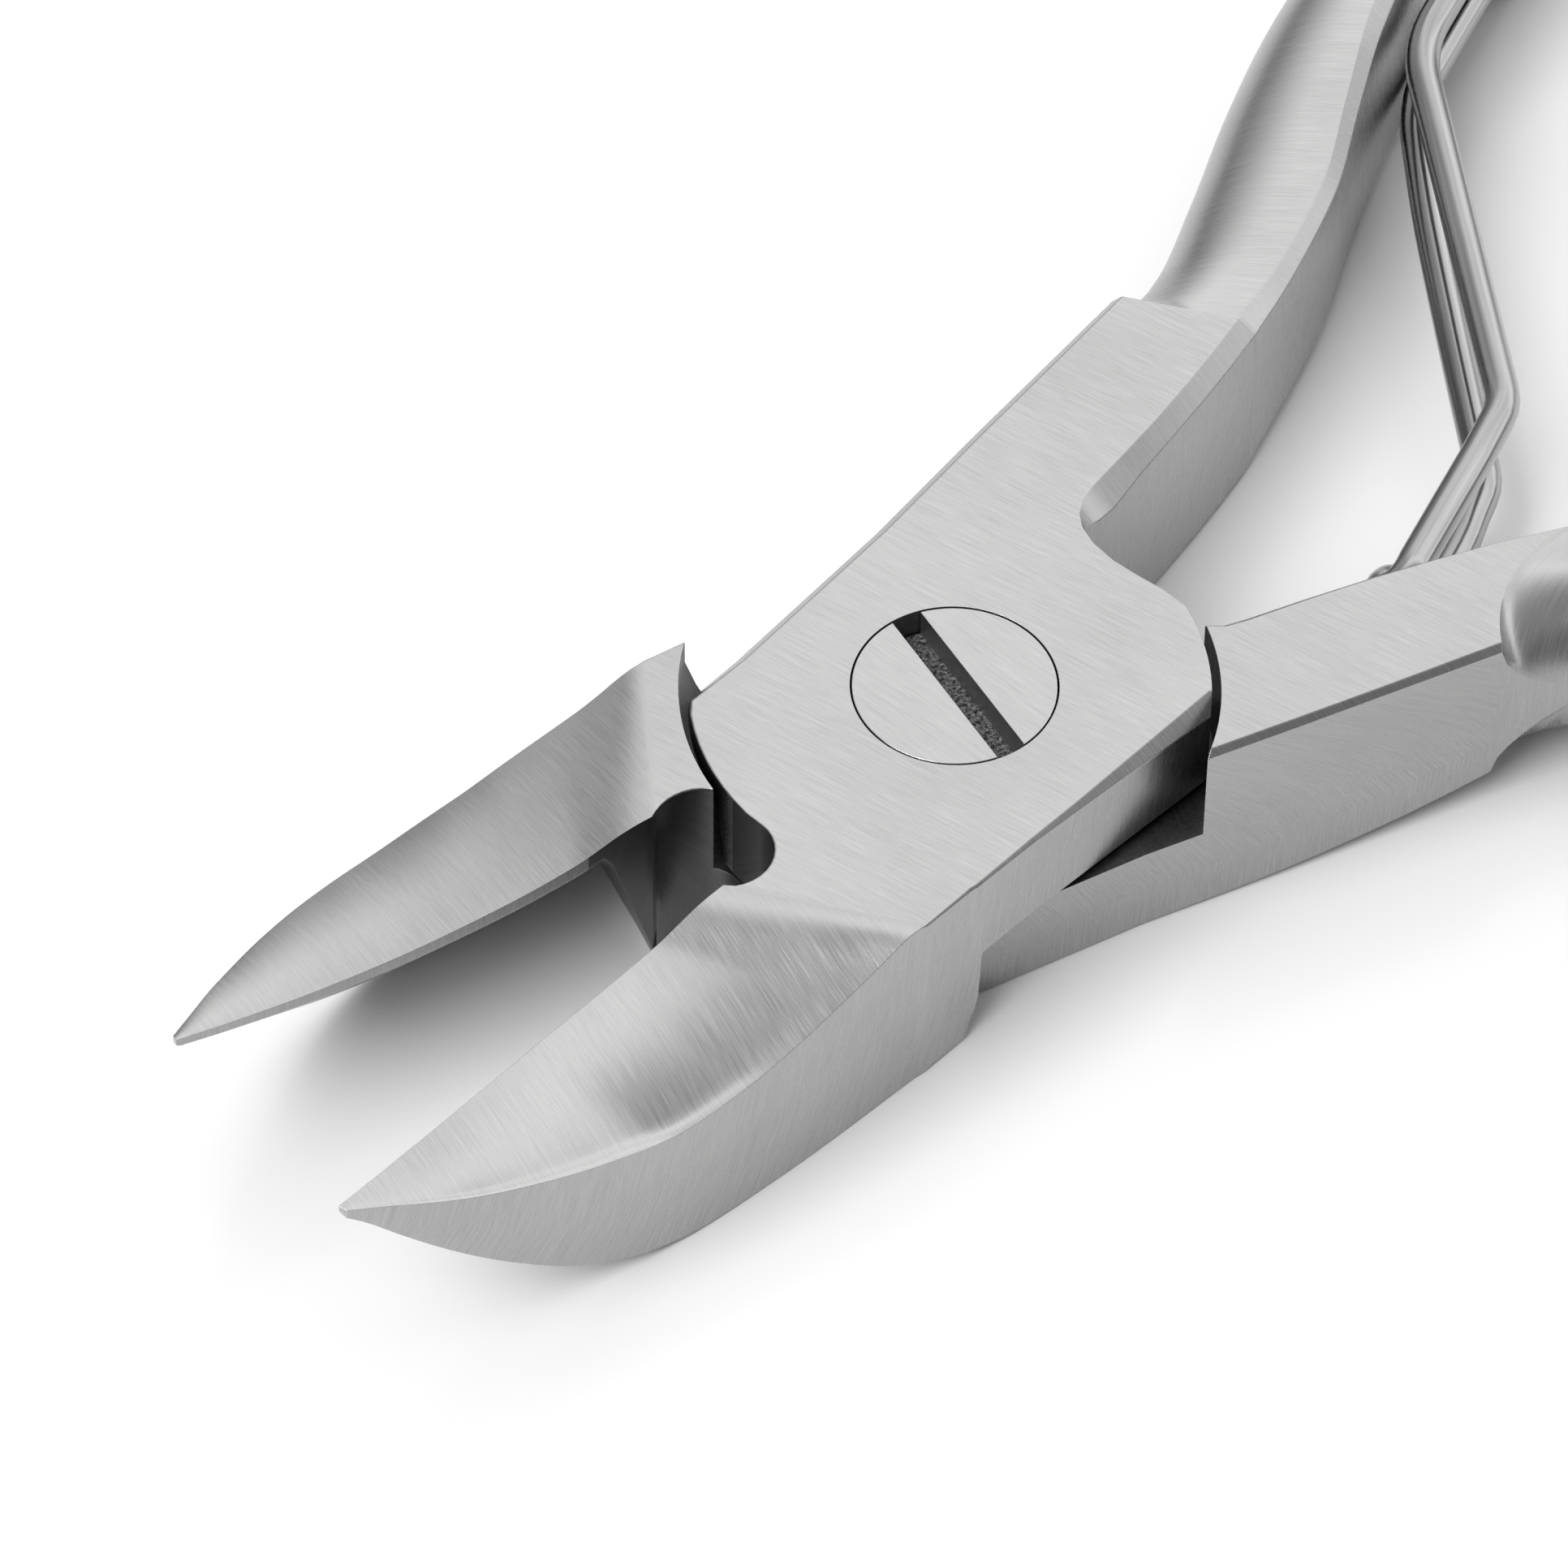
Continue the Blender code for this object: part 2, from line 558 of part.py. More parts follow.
# ---------------------------------------------------------------------- build
def main():
    for obj in list(bpy.data.objects):
        bpy.data.objects.remove(obj, do_unlink=True)
    parts = collection("nail_nipper")
    cutters = collection("nail_nipper_cutters")

    steel_a = material("satin_steel_upper", (0.62, 0.62, 0.62), 0.34, 1.0)
    steel_b = material("satin_steel_lower", (0.60, 0.60, 0.60), 0.34, 1.0)
    screw_mat = material("ground_screw_steel", (0.66, 0.66, 0.66), 0.30, 1.0)
    wire_mat = material("spring_wire", (0.56, 0.56, 0.57), 0.22, 1.0)

    # lever A: upper lap plate, jaw on +Y, handle on -Y
    lever_a = lever("lever_a_upper", False, HALF_OPEN, 0.0, parts, cutters)
    lever_a.data.materials.append(steel_a)
    for c in (recess("recess_a", True, cutters), collar("collar_a", cutters),
              end_ring("end_ring_a", False, cutters),
              cylinder("head_bore_a", HEAD_R + 0.08, -HEAD_H - 0.10, 1.0, cutters),
              cylinder("shank_bore_a", SHANK_R + 0.15, -6.0, -HEAD_H + 0.2, cutters, 48),
              box_cutter("spring_slot_a", (8.4, 2 * WIRE_R + 0.50, 4.25), (*ANCHOR, -THICK / 2), ANCHOR_ANGLE, cutters)):
        as_cutter(c, lever_a)
        cut(lever_a, c)

    # lever B: lower lap plate, jaw on -Y, handle on +Y
    lever_b = lever("lever_b_lower", True, -HALF_OPEN, 0.95, parts, cutters)
    lever_b.data.materials.append(steel_b)
    rec_b = recess("recess_b", False, cutters)
    for v in rec_b.data.vertices:
        v.co.y = -v.co.y
    rec_b.data.flip_normals()
    for c in (rec_b, end_ring("end_ring_b", True, cutters), cylinder("shank_bore_b", SHANK_R + 0.05, -9.0, -3.0, cutters, 48)):
        as_cutter(c, lever_b)
        cut(lever_b, c)

    # pivot screw: turned profile, then the slot
    prof = [(0.0, 0.0), (HEAD_R - 0.05, 0.0), (HEAD_R, -0.05), (HEAD_R, -HEAD_H),
            (SHANK_R, -HEAD_H), (SHANK_R, -THICK + 0.25), (SHANK_R - 0.2, -THICK + 0.05), (0.0, -THICK + 0.05)]
    bm = bmesh.new()
    vs = [bm.verts.new((r * MM, 0.0, z * MM)) for r, z in prof]
    for a, b in zip(vs, vs[1:]):
        bm.edges.new((a, b))
    mesh = bpy.data.meshes.new("pivot_screw")
    bm.to_mesh(mesh)
    bm.free()
    screw = bpy.data.objects.new("pivot_screw", mesh)
    parts.objects.link(screw)
    screw.location = (PIVOT_X * MM, PIVOT_Y * MM, THICK * MM)
    mod = screw.modifiers.new("turn", 'SCREW')
    mod.steps = mod.render_steps = 64
    mod.use_merge_vertices = True
    mod.merge_threshold = 0.00001
    mod.use_smooth_shade = True
    mesh.materials.append(screw_mat)
    slot = box_cutter("driver_slot", (9.0, SLOT_W, 2 * SLOT_D),
                      (SLOT_OFF * math.sin(math.radians(SLOT_ANGLE)),
                       -SLOT_OFF * math.cos(math.radians(SLOT_ANGLE)), 0.0), SLOT_ANGLE, cutters)
    as_cutter(slot, screw)
    cut(screw, slot)

    # spring: anchored in lever A, its foot rests on lever B
    wire = spring("wire_spring", parts)
    wire.data.materials.append(wire_mat)


main()
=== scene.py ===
"""Heavy nail nipper, plier type, open on a pale floor.

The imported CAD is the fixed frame. Each CAD node is replaced by a finer piece
made from the same design rules: the same sections, with rounded edges, more
stations, a grain map for the grinding lines and a ground-steel material.
Lengths in the design are millimetres about the pivot; z = 0 is the top face.
"""
import bpy
import bmesh
import math
from mathutils import Vector, Matrix


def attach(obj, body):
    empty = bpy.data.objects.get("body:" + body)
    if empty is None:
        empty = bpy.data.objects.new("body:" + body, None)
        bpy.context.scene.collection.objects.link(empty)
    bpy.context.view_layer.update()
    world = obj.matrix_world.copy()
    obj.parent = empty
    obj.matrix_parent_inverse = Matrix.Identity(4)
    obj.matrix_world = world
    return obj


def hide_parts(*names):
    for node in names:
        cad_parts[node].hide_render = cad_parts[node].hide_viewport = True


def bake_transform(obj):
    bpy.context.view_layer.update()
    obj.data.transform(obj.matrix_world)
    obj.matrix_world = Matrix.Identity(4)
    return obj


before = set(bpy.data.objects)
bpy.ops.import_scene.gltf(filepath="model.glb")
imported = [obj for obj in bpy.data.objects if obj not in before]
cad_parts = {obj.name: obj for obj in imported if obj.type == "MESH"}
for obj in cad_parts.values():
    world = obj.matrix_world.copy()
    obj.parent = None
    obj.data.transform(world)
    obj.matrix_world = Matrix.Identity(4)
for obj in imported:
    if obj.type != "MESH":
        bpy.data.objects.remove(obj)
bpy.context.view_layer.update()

# ---------------------------------------------------------------- dimensions
MM = 0.001
THICK = 7.5                 # full lever thickness
HALF_OPEN = 7.9             # each lever stands this many degrees off closed
PIVOT_X, PIVOT_Y = 37.73, 0.0   # pivot axis in the part's frame
PLATE_LOW = -3.6            # underside of the upper lap plate
FLOOR_TOP = -3.9            # top of the lower lap plate

TIP_X = 28.3                # jaw tip
EDGE_X = 11.14              # where the cutting edge meets the flat face
ROOT_X = 8.2                # where the hollow bevel meets the outer wall
EDGE_CROWN = 0.27           # crown of the cutting edge in plan
LIP = 0.87                  # share of the bevel before its raised outer lip
RELIEF = (10.0, -0.6, 1.5)  # relief notch: centre x, y and half length

INNER_EDGE_UPPER = 0.62     # chamfer along the inner top edge of lever A
INNER_EDGE_LOWER = 0.20     # the same edge on lever B
OUTER_EDGE_UPPER = 0.36     # chamfer along the outer top edge of lever A
OUTER_EDGE_LOWER = 0.22     # the same edge on lever B
LOW_MAX = 1.35              # outer lower edge, fully rounded off

SHOULDER_JAW = 8.88         # lap recess radius on the jaw side
SHOULDER_HANDLE = 8.55      # lap recess radius on the handle side
RUN_GAP = 0.30              # running gap at the lap shoulders
PLATE_END = 8.25            # round end of the plate, handle side

HEAD_R, HEAD_H = 3.30, 1.90     # pivot screw head
SHANK_R = 2.20
SLOT_W, SLOT_D, SLOT_OFF = 1.03, 1.05, -0.14
SLOT_ANGLE = 80.95          # screwdriver slot, from +X

WIRE_R = 0.60               # spring wire radius
ANCHOR = (-41.90, -11.81)   # centre of the spring pocket in the handle
ANCHOR_ANGLE = 18.0         # pocket direction in the lever's own frame

SEG_JAW, SEG_HANDLE = 64, 84    # stations along jaw and handle
TOP_N, WALL2_N, BOT_N, WALL1_N = 21, 3, 7, 5    # design points round one section


def lerp(a, b, t):
    return a + (b - a) * t


def through(stations, x):
    """Monotone cubic through a few (x, value) design stations."""
    xs = [s[0] for s in stations]
    ys = [s[1] for s in stations]
    if xs[0] > xs[-1]:
        xs, ys = xs[::-1], ys[::-1]
    if x <= xs[0]:
        return ys[0]
    if x >= xs[-1]:
        return ys[-1]
    n = len(xs)
    h = [xs[i + 1] - xs[i] for i in range(n - 1)]
    d = [(ys[i + 1] - ys[i]) / h[i] for i in range(n - 1)]
    m = [d[0]] + [0.0] * (n - 2) + [d[-1]]
    for i in range(1, n - 1):
        if d[i - 1] * d[i] > 0:
            w1, w2 = 2 * h[i] + h[i - 1], h[i] + 2 * h[i - 1]
            m[i] = (w1 + w2) / (w1 / d[i - 1] + w2 / d[i])
    for i in range(n - 1):
        if x <= xs[i + 1]:
            t = (x - xs[i]) / h[i]
            t2, t3 = t * t, t * t * t
            return ((2 * t3 - 3 * t2 + 1) * ys[i] + (t3 - 2 * t2 + t) * h[i] * m[i]
                    + (3 * t2 - 2 * t3) * ys[i + 1] + (t3 - t2) * h[i] * m[i + 1])
    return ys[-1]


def polar(r, deg):
    return (r * math.cos(math.radians(deg)), r * math.sin(math.radians(deg)))


JAW_WALL = ((8.2, 6.0), (12.85, 5.70), (15.05, 5.48), (17.24, 5.2),
            (19.43, 4.75), (21.6, 4.14), (23.78, 3.26), (25.9, 2.11),
            (27.4, 1.12), (28.25, 0.56))
JAW_EDGE_Z = ((11.14, 0.0), (11.6, -0.015), (12.3, -0.10), (13.1, -0.30), (14.0, -0.52), (17.0, -0.75), (20.0, -0.80),
              (23.0, -0.72), (26.0, -0.50), (28.3, -0.25))
JAW_RIDGE_Z = ((8.2, 0.0), (8.6, -0.02), (9.3, -0.20), (10.2, -0.48), (11.5, -0.83), (13.6, -1.38),
               (15.4, -1.74), (18.2, -1.95), (20.6, -1.60), (22.9, -1.22),
               (25.0, -0.90), (26.8, -0.52), (28.25, -0.28))
JAW_RIDGE_LOWER_Z = ((8.2, 0.0), (8.5, -0.03), (9.0, -0.17), (9.7, -0.46), (10.5, -0.74), (11.5, -0.98), (13.6, -1.42),
                     (15.4, -1.74), (18.2, -1.95), (20.6, -1.78), (22.9, -1.48),
                     (25.0, -1.12), (26.8, -0.68), (28.25, -0.36))
JAW_BOTTOM_Z = ((15.5, -7.5), (17.3, -7.47), (19.05, -7.24), (20.7, -6.67),
                (22.0, -6.03), (23.4, -5.07), (25.0, -3.80), (26.9, -1.98),
                (27.8, -1.02), (28.3, -0.62))
# handle rails past the flat: distance code, outer x, outer y, inner x, inner y
HANDLE = ((0.0, -16.35, -7.78, -18.40, -3.95), (1.0, -19.5, -8.55, -21.3, -4.75),
          (2.0, -23.2, -10.15, -25.3, -6.05), (3.0, -27.2, -12.05, -29.2, -7.75),
          (4.0, -31.5, -13.75, -33.3, -9.40), (5.0, -36.5, -15.1, -37.0, -10.65),
          (6.0, -40.5, -15.75, -40.0, -11.20), (7.0, -45.0, -15.85, -44.5, -10.80),
          (8.0, -54.0, -14.95, -53.6, -9.70), (9.0, -66.0, -13.0, -65.6, -7.75),
          (10.0, -80.0, -10.6, -79.6, -5.50), (11.0, -94.0, -8.35, -93.7, -3.55),
          (12.0, -102.5, -7.25, -102.3, -2.75))


def shoulder(angle, depth):
    """Lap recess radius, jaw side. depth runs 0 at the open face to 1 at the
    lap floor; the fillet is absent near the mouth and full beyond it."""
    fade = min(max((abs(angle) - 16.0) / 10.0, 0.0), 1.0)
    fillet = 0.02 + 0.70 * max(depth - 0.27, 0.0) / 0.73
    return SHOULDER_JAW - fillet * fade


def rails(lower):
    """Plan outline of a lever as two matched rails, tip to handle end.
    Returns (kind, rail 1 point, rail 2 point, station value)."""
    out = []
    for i in range(SEG_JAW + 1):
        s = (i / SEG_JAW) ** 1.12
        xe, xw = lerp(TIP_X, EDGE_X, s), lerp(28.25, ROOT_X, s)
        ye = EDGE_CROWN * (1.0 - math.sin(math.pi * (xe - EDGE_X) / (TIP_X - EDGE_X)))
        out.append(('jaw', (xe, ye), (xw, through(JAW_WALL, xw)), s))
    cx, cy, rx = RELIEF
    ry = 1.25 if lower else 1.42
    for i in range(1, 13):                      # relief notch
        a = math.radians(lerp(40.5, 180.0, i / 12))
        out.append(('plate', (cx + rx * math.cos(a), cy + ry * math.sin(a)),
                    (lerp(ROOT_X, 5.9, i / 12), 6.02), 0.0))
    corner = -50.5 if lower else -43.0
    for i in range(9):                          # end arc at the far shoulder
        a = lerp(-8.6, corner, i / 8)
        r = SHOULDER_JAW - RUN_GAP
        if lower:
            r = shoulder(a, 1.0) - RUN_GAP
        out.append(('plate', polar(r, a), (lerp(5.7, 3.0, i / 8), 6.06), 0.0))
    cx, cy = out[-1][1]
    for i in range(1, 5):                       # straight outer edge
        out.append(('plate', (lerp(cx, -3.3, i / 4), lerp(cy, -6.45, i / 4)),
                    (lerp(3.0, -5.45, i / 4), 6.10), 0.0))
    end = []
    for i in range(7):                          # round end of the plate
        end.append(polar(PLATE_END, lerp(133.0, 157.5, i / 6)))
    notch = ((2.2, -7.66), (1.2, -7.56), (0.2, -7.50), (-0.8, -7.62),
             (-1.55, -7.90), (-2.05, -8.30), (-2.38, -8.85), (-2.52, -9.60))
    end += [(x, y) for y, x in notch]
    for i, p in enumerate(end):
        t = (i + 1) / len(end)
        out.append(('plate', (lerp(-3.5, -8.6, t), lerp(-6.47, -7.02, t)), p, 0.0))
    for i in range(1, 6):                       # flat run of the handle
        t = i / 5
        xi = lerp(-9.6, -20.8 if lower else -18.4, t)
        out.append(('plate', (lerp(-8.6, -15.95 if lower else -16.35, t), lerp(-7.02, -7.75, t)),
                    (xi, through(((-9.6, -2.52), (-13.1, -2.95), (-16.0, -3.45),
                                  (-18.4, -3.95), (-20.8, -4.58)), xi)), 0.0))
    codes = [0.06, 0.16, 0.30, 0.5, 0.75] + [
        lerp(1.0, 12.0, (i / (SEG_HANDLE - 6)) ** 0.95) for i in range(SEG_HANDLE - 5)]
    for c in codes:
        o = (through([(k[0], k[1]) for k in HANDLE], c), through([(k[0], k[2]) for k in HANDLE], c))
        if lower:                               # the flat ends a little sooner
            o = (o[0] + 0.4 * max(0.0, 1.0 - c), o[1] + 0.03 * max(0.0, 1.0 - c))
        ci = 0.84 + c * 11.16 / 12.0 if lower else c
        n = (through([(k[0], k[3]) for k in HANDLE], ci), through([(k[0], k[4]) for k in HANDLE], ci))
        out.append(('handle', o, n, c))
    o, n = out[-1][1], out[-1][2]
    mid, half = (o[1] + n[1]) / 2, (o[1] - n[1]) / 2
    for i in range(1, 6):                       # rounded handle end
        a = math.radians(15.0 * i)
        x = o[0] - 2.6 * math.sin(a)
        k = math.cos(a)
        out.append(('end', (x, mid + half * k), (x, mid - half * k), k))
    return out


def flat_section(p1, p2, top1, top2, low1=0.12, bow=0.0):
    """Rectangular section. Rail 1 is the outer wall, chamfered by top1 above
    and low1 below; rail 2 is the upper edge of a chamfer top2 wide."""
    a, b = Vector(p1), Vector(p2)
    d = (b - a).normalized()
    span = (b - a).length + top2
    side = Vector((d.y, -d.x))
    if side.x < 0:
        side = -side
    low2 = min(0.30, 0.12 + top2 * 0.3)
    pts = []
    for j in range(TOP_N):
        pts.append((lerp(top1, span - top2, j / (TOP_N - 1)), 0.0))
    for z in (-top2, -THICK / 2, -THICK + low2):
        pts.append((span, z))
    for j in range(BOT_N):
        pts.append((lerp(span - low2, 0.8 * low1, j / (BOT_N - 1)), -THICK))
    for j in range(WALL1_N):
        pts.append((0.0, lerp(-THICK + low1, -top1, j / (WALL1_N - 1))))
    out = []
    for u, z in pts:
        q = a + d * u + side * (bow * 4 * (u / span) * (1 - u / span))
        out.append((q.x, q.y, z))
    return out


def bevel_fall(u, lower):
    """Share of the bevel's fall reached at u, cutting edge 0 to ridge 1: level
    beside the edge, steeper outward, then turned up into a narrow lip."""
    if lower:
        return (0.06 * u + 0.157 * u * u) / 0.217
    if u < LIP:
        return (0.06 * u + 0.1513 * (u / LIP) ** 2.3) / 0.217
    t = u - LIP
    return (0.2035 + 0.46 * t - 2.731 * t * t) / 0.217


def jaw_section(p1, p2, s, lower):
    """Ground bevel on top, flat outer wall, undercut inner side."""
    a, b = Vector(p1), Vector(p2)
    span = (b - a).length
    d = (b - a) / span
    ze = through(JAW_EDGE_Z, p1[0])
    zr = through(JAW_RIDGE_LOWER_Z if lower else JAW_RIDGE_Z, p2[0])
    zb = through(JAW_BOTTOM_Z, p2[0])
    if s > 0.999:
        ze = zr = 0.0
    pts = []
    for j in range(TOP_N):
        u = j / (TOP_N - 1)
        pts.append((span * u, lerp(ze, zr, bevel_fall(u, lower))))
    pts += [(span, zr - 0.06), (span, (zr + zb) / 2), (span, zb + 0.06)]
    foot = through(((11.14, 0.085), (12.0, 0.50), (13.0, 0.92), (28.3, 0.92)), p1[0])
    land = through(((11.14, -6.6), (12.0, -3.6), (13.0, ze - 0.62), (18.0, ze - 0.52),
                    (28.3, ze - 0.36)), p1[0])
    land = max(land, zb + 0.12)
    for j in range(BOT_N):
        pts.append((lerp(span * 0.985, span * foot, j / (BOT_N - 1)), zb))
    for j in range(1, WALL1_N + 1):
        t = j / WALL1_N
        pts.append((span * foot * (1 - t) - 0.25 * foot * span / 5.4 * 4 * t * (1 - t) * 0.5,
                    lerp(zb, land, t) + 0.02 * t))
    pts = [(max(u, 0.0), z) for u, z in pts]
    return [(a.x + d.x * u, a.y + d.y * u, z) for u, z in pts]


def handle_section(p1, p2, code, bow, edge, outer):
    """Flat inner side, heavily rounded outer side; fades in past the flat."""
    a, b = Vector(p1), Vector(p2)
    d = (b - a).normalized()
    side = Vector((d.y, -d.x))
    if side.x < 0:
        side = -side
    c2 = through(((0.0, edge), (1.5, 0.48), (3.0, 0.50), (5.0, 0.60), (8.0, 0.90), (12.0, 1.1)), code)
    span = (b - a).length + 0.62 * through(((0.0, edge / 0.62), (1.0, 0.9), (2.5, 0.5), (4.0, 0.1), (5.0, 0.0), (12.0, 0.0)), code)
    zt = through(((0.0, -0.05), (1.0, -0.22), (6.0, -0.30), (12.0, -0.85)), code)
    zb = -THICK - zt
    high = zt - zb
    ea, eb = min(3.3, span * 0.68), min(2.75, 0.42 * high)
    lean = through(((0.0, 0.0), (2.0, 0.05), (3.0, 0.30), (4.0, 0.65), (5.0, 0.80),
                    (6.0, 0.80), (8.0, 0.50), (12.0, 0.35)), code)
    foot = through(((0.0, 0.0), (4.0, 0.12), (8.0, 0.40), (12.0, 0.35)), code)
    rnd = []
    for j in range(15):
        t = math.radians(90.0 * j / 14)
        rnd.append((ea * (1 - math.cos(t)), zt - eb + eb * math.sin(t)))
    ea = min(ea, span - c2 - lean - 0.4)
    rnd = [(u * ea / rnd[-1][0] if rnd[-1][0] > ea else u, z) for u, z in rnd]
    for j in range(1, 7):
        rnd.append((lerp(ea, span - c2 - lean, j / 6), zt))
    rnd += [(span - lean, zt - c2), (span - lean * 0.35, -THICK / 2), (span - foot, zb + c2 * 0.8)]
    rnd.append((span - c2 - foot, zb))
    fa, fb = min(4.5, span * 0.78), min(3.7, 0.50 * high)
    for j in range(BOT_N - 1):
        t = math.radians(90.0 * (1 - j / (BOT_N - 2)))
        rnd.append((fa * (1 - math.cos(t)), zb + fb - fb * math.sin(t)))
    for j in range(WALL1_N):
        rnd.append((0.0, lerp(zb + fb, zt - eb, (j + 1) / (WALL1_N + 1))))
    flat = flat_section((0, 0), (span - edge, 0), outer, edge, LOW_MAX)
    m = min(1.0, code / 0.75) ** 0.55
    fade = max(0.0, 1.0 - code / 1.5)
    out = []
    for (u0, _, z0), (u1, z1) in zip(flat, rnd):
        u, z = lerp(u0, u1, m), lerp(z0, z1, m)
        k = bow * fade * 4 * (u / span) * (1 - u / span)
        q = a + d * u + side * k
        out.append((q.x, q.y, z))
    return out


def end_section(ring, k, ref):
    """Shrink the last handle section into a rounded end."""
    (p1, p2), (r1, r2) = k, ref
    out = []
    a, b = Vector(r1), Vector(r2)
    na, nb = Vector(p1), Vector(p2)
    ratio = (nb - na).length / (b - a).length
    zm = -THICK / 2
    for x, y, z in ring:
        u = (Vector((x, y)) - a).dot((b - a).normalized()) / (b - a).length
        q = na + (nb - na) * u
        out.append((q.x, q.y, zm + (z - zm) * max(ratio, 0.05) ** 0.9))
    return out


def lever_rings(lower, bow):
    edge = INNER_EDGE_LOWER if lower else INNER_EDGE_UPPER
    outer = OUTER_EDGE_LOWER if lower else OUTER_EDGE_UPPER
    rings = []
    kinds = []
    last = None
    for kind, p1, p2, val in rails(lower):
        kinds.append(kind)
        if kind == 'jaw':
            rings.append(jaw_section(p1, p2, val, lower))
        elif kind == 'plate':
            c1 = 0.06
            if p1[1] < -5.6:
                c1 = outer * through(((6.6, 0.3), (5.0, 1.0), (-20.0, 1.0)), p1[0])
            if p2[0] < -7.9 and p2[1] < 0:
                c2 = edge * through(((-7.9, 0.25), (-8.9, 1.1), (-10.0, 1.25), (-12.0, 1.0), (-18.4, 1.0)), p2[0])
            elif p2[1] > 5.9:
                c2 = through(((8.2, 0.06), (3.0, 0.14), (-5.6, 0.55)), p2[0])
            else:
                c2 = 0.10
            low1 = 0.12
            if p1[1] < -5.6:
                low1 = through(((-3.0, 0.12), (-7.0, 0.2), (-9.5, 0.35), (-11.0, 0.5),
                                (-13.5, 0.85), (-16.0, LOW_MAX)), p1[0])
            k = bow * min(max((-11.0 - p1[0]) / 5.0, 0.0), 1.0)
            rings.append(flat_section(p1, p2, c1, c2, low1, k))
        elif kind == 'handle':
            rings.append(handle_section(p1, p2, val, bow, edge, outer))
            last = (rings[-1], (p1, p2))
        else:
            rings.append(end_section(last[0], (p1, p2), last[1]))
    return rings, kinds


# corners of one formed strand from the pocket to the foot, open position about
# the pivot: x, y, z, bend radius
STRAND = ((-41.75, -18.36, -2.50, 0.0), (-32.46, -13.85, -2.46, 6.0), (-23.25, 0.78, -1.95, 2.6),
          (-20.9, 1.98, -1.86, 4.0), (-16.30, 4.15, -1.80, 0.0))
# the foot: both strands curl off lever B and meet at mid height
FOOT = ((-15.75, 4.42, -1.82), (-15.22, 4.50, -1.98), (-14.95, 4.22, -2.32),
        (-15.20, 3.80, -2.72), (-15.72, 3.52, -3.10), (-16.02, 3.42, -3.42),
        (-16.12, 3.38, -3.75))
SPREAD = ((-32.4, 0.0), (-29.0, 0.42), (-24.0, 0.52), (-22.2, 0.40), (-20.0, 0.05), (-16.0, 0.0))


def filleted(corners, pitch):
    """Straight runs joined by bends of the given radii."""
    pts = [Vector(c[:3]) for c in corners]
    out = [pts[0]]
    for i in range(1, len(pts) - 1):
        a, b = (pts[i - 1] - pts[i]).normalized(), (pts[i + 1] - pts[i]).normalized()
        turn = math.pi - a.angle(b)
        r = corners[i][3]
        t = r * math.tan(turn / 2)
        p, q = pts[i] + a * t, pts[i] + b * t
        c = pts[i] + (a + b).normalized() * (r / math.cos(turn / 2))
        n = max(3, int(r * turn / pitch))
        for k in range(n + 1):
            out.append(c + (p - c).normalized().slerp((q - c).normalized(), k / n) * r)
    out.append(pts[-1])
    return out


def smooth_path(pts, n):
    """Catmull-Rom through the points, n steps a span."""
    v = [Vector(p) for p in pts]
    v = [v[0] * 2 - v[1]] + v + [v[-1] * 2 - v[-2]]
    out = []
    for i in range(1, len(v) - 2):
        p0, p1, p2, p3 = v[i - 1:i + 3]
        for k in range(n):
            t = k / n
            out.append(0.5 * ((2 * p1) + (p2 - p0) * t + (2 * p0 - 5 * p1 + 4 * p2 - p3) * t * t
                              + (3 * p1 - p0 - 3 * p2 + p3) * t ** 3))
    out.append(v[-2])
    return out


# ------------------------------------------------------------- mesh building
work = bpy.data.collections.new("nail_nipper_look")
bpy.context.scene.collection.children.link(work)


def rounded(ring, kind):
    """Rounds the eight design corners of a section, five points each."""
    n = len(ring)
    fine = 0.012 if kind == 'jaw' else 0.05
    radii = {0: fine, TOP_N - 1: 0.05, TOP_N: 0.04, TOP_N + WALL2_N - 1: 0.06,
             TOP_N + WALL2_N: 0.06, TOP_N + WALL2_N + BOT_N - 1: 0.06,
             TOP_N + WALL2_N + BOT_N: 0.06, n - 1: 0.04}
    out = []
    for i, p in enumerate(ring):
        if i not in radii:
            out.append(Vector(p))
            continue
        p = Vector(p)
        a, b = Vector(ring[i - 1]) - p, Vector(ring[(i + 1) % n]) - p
        ra = min(radii[i], a.length * 0.35)
        rb = min(radii[i], b.length * 0.35)
        s, e = p + a.normalized() * ra, p + b.normalized() * rb
        for k in range(5):
            t = k / 4
            out.append(s * (1 - t) ** 2 + p * (2 * t * (1 - t)) + e * t * t)
    return out


def grain_flat(p, angle):
    """Coordinates for straight grinding lines that run at this angle."""
    c, s = math.cos(math.radians(angle)), math.sin(math.radians(angle))
    return (p.x * s - p.y * c, p.x * c + p.y * s)


def mesh_object(name, bm):
    mesh = bpy.data.meshes.new(name)
    bm.to_mesh(mesh)
    bm.free()
    obj = bpy.data.objects.new(name, mesh)
    work.objects.link(obj)
    return obj


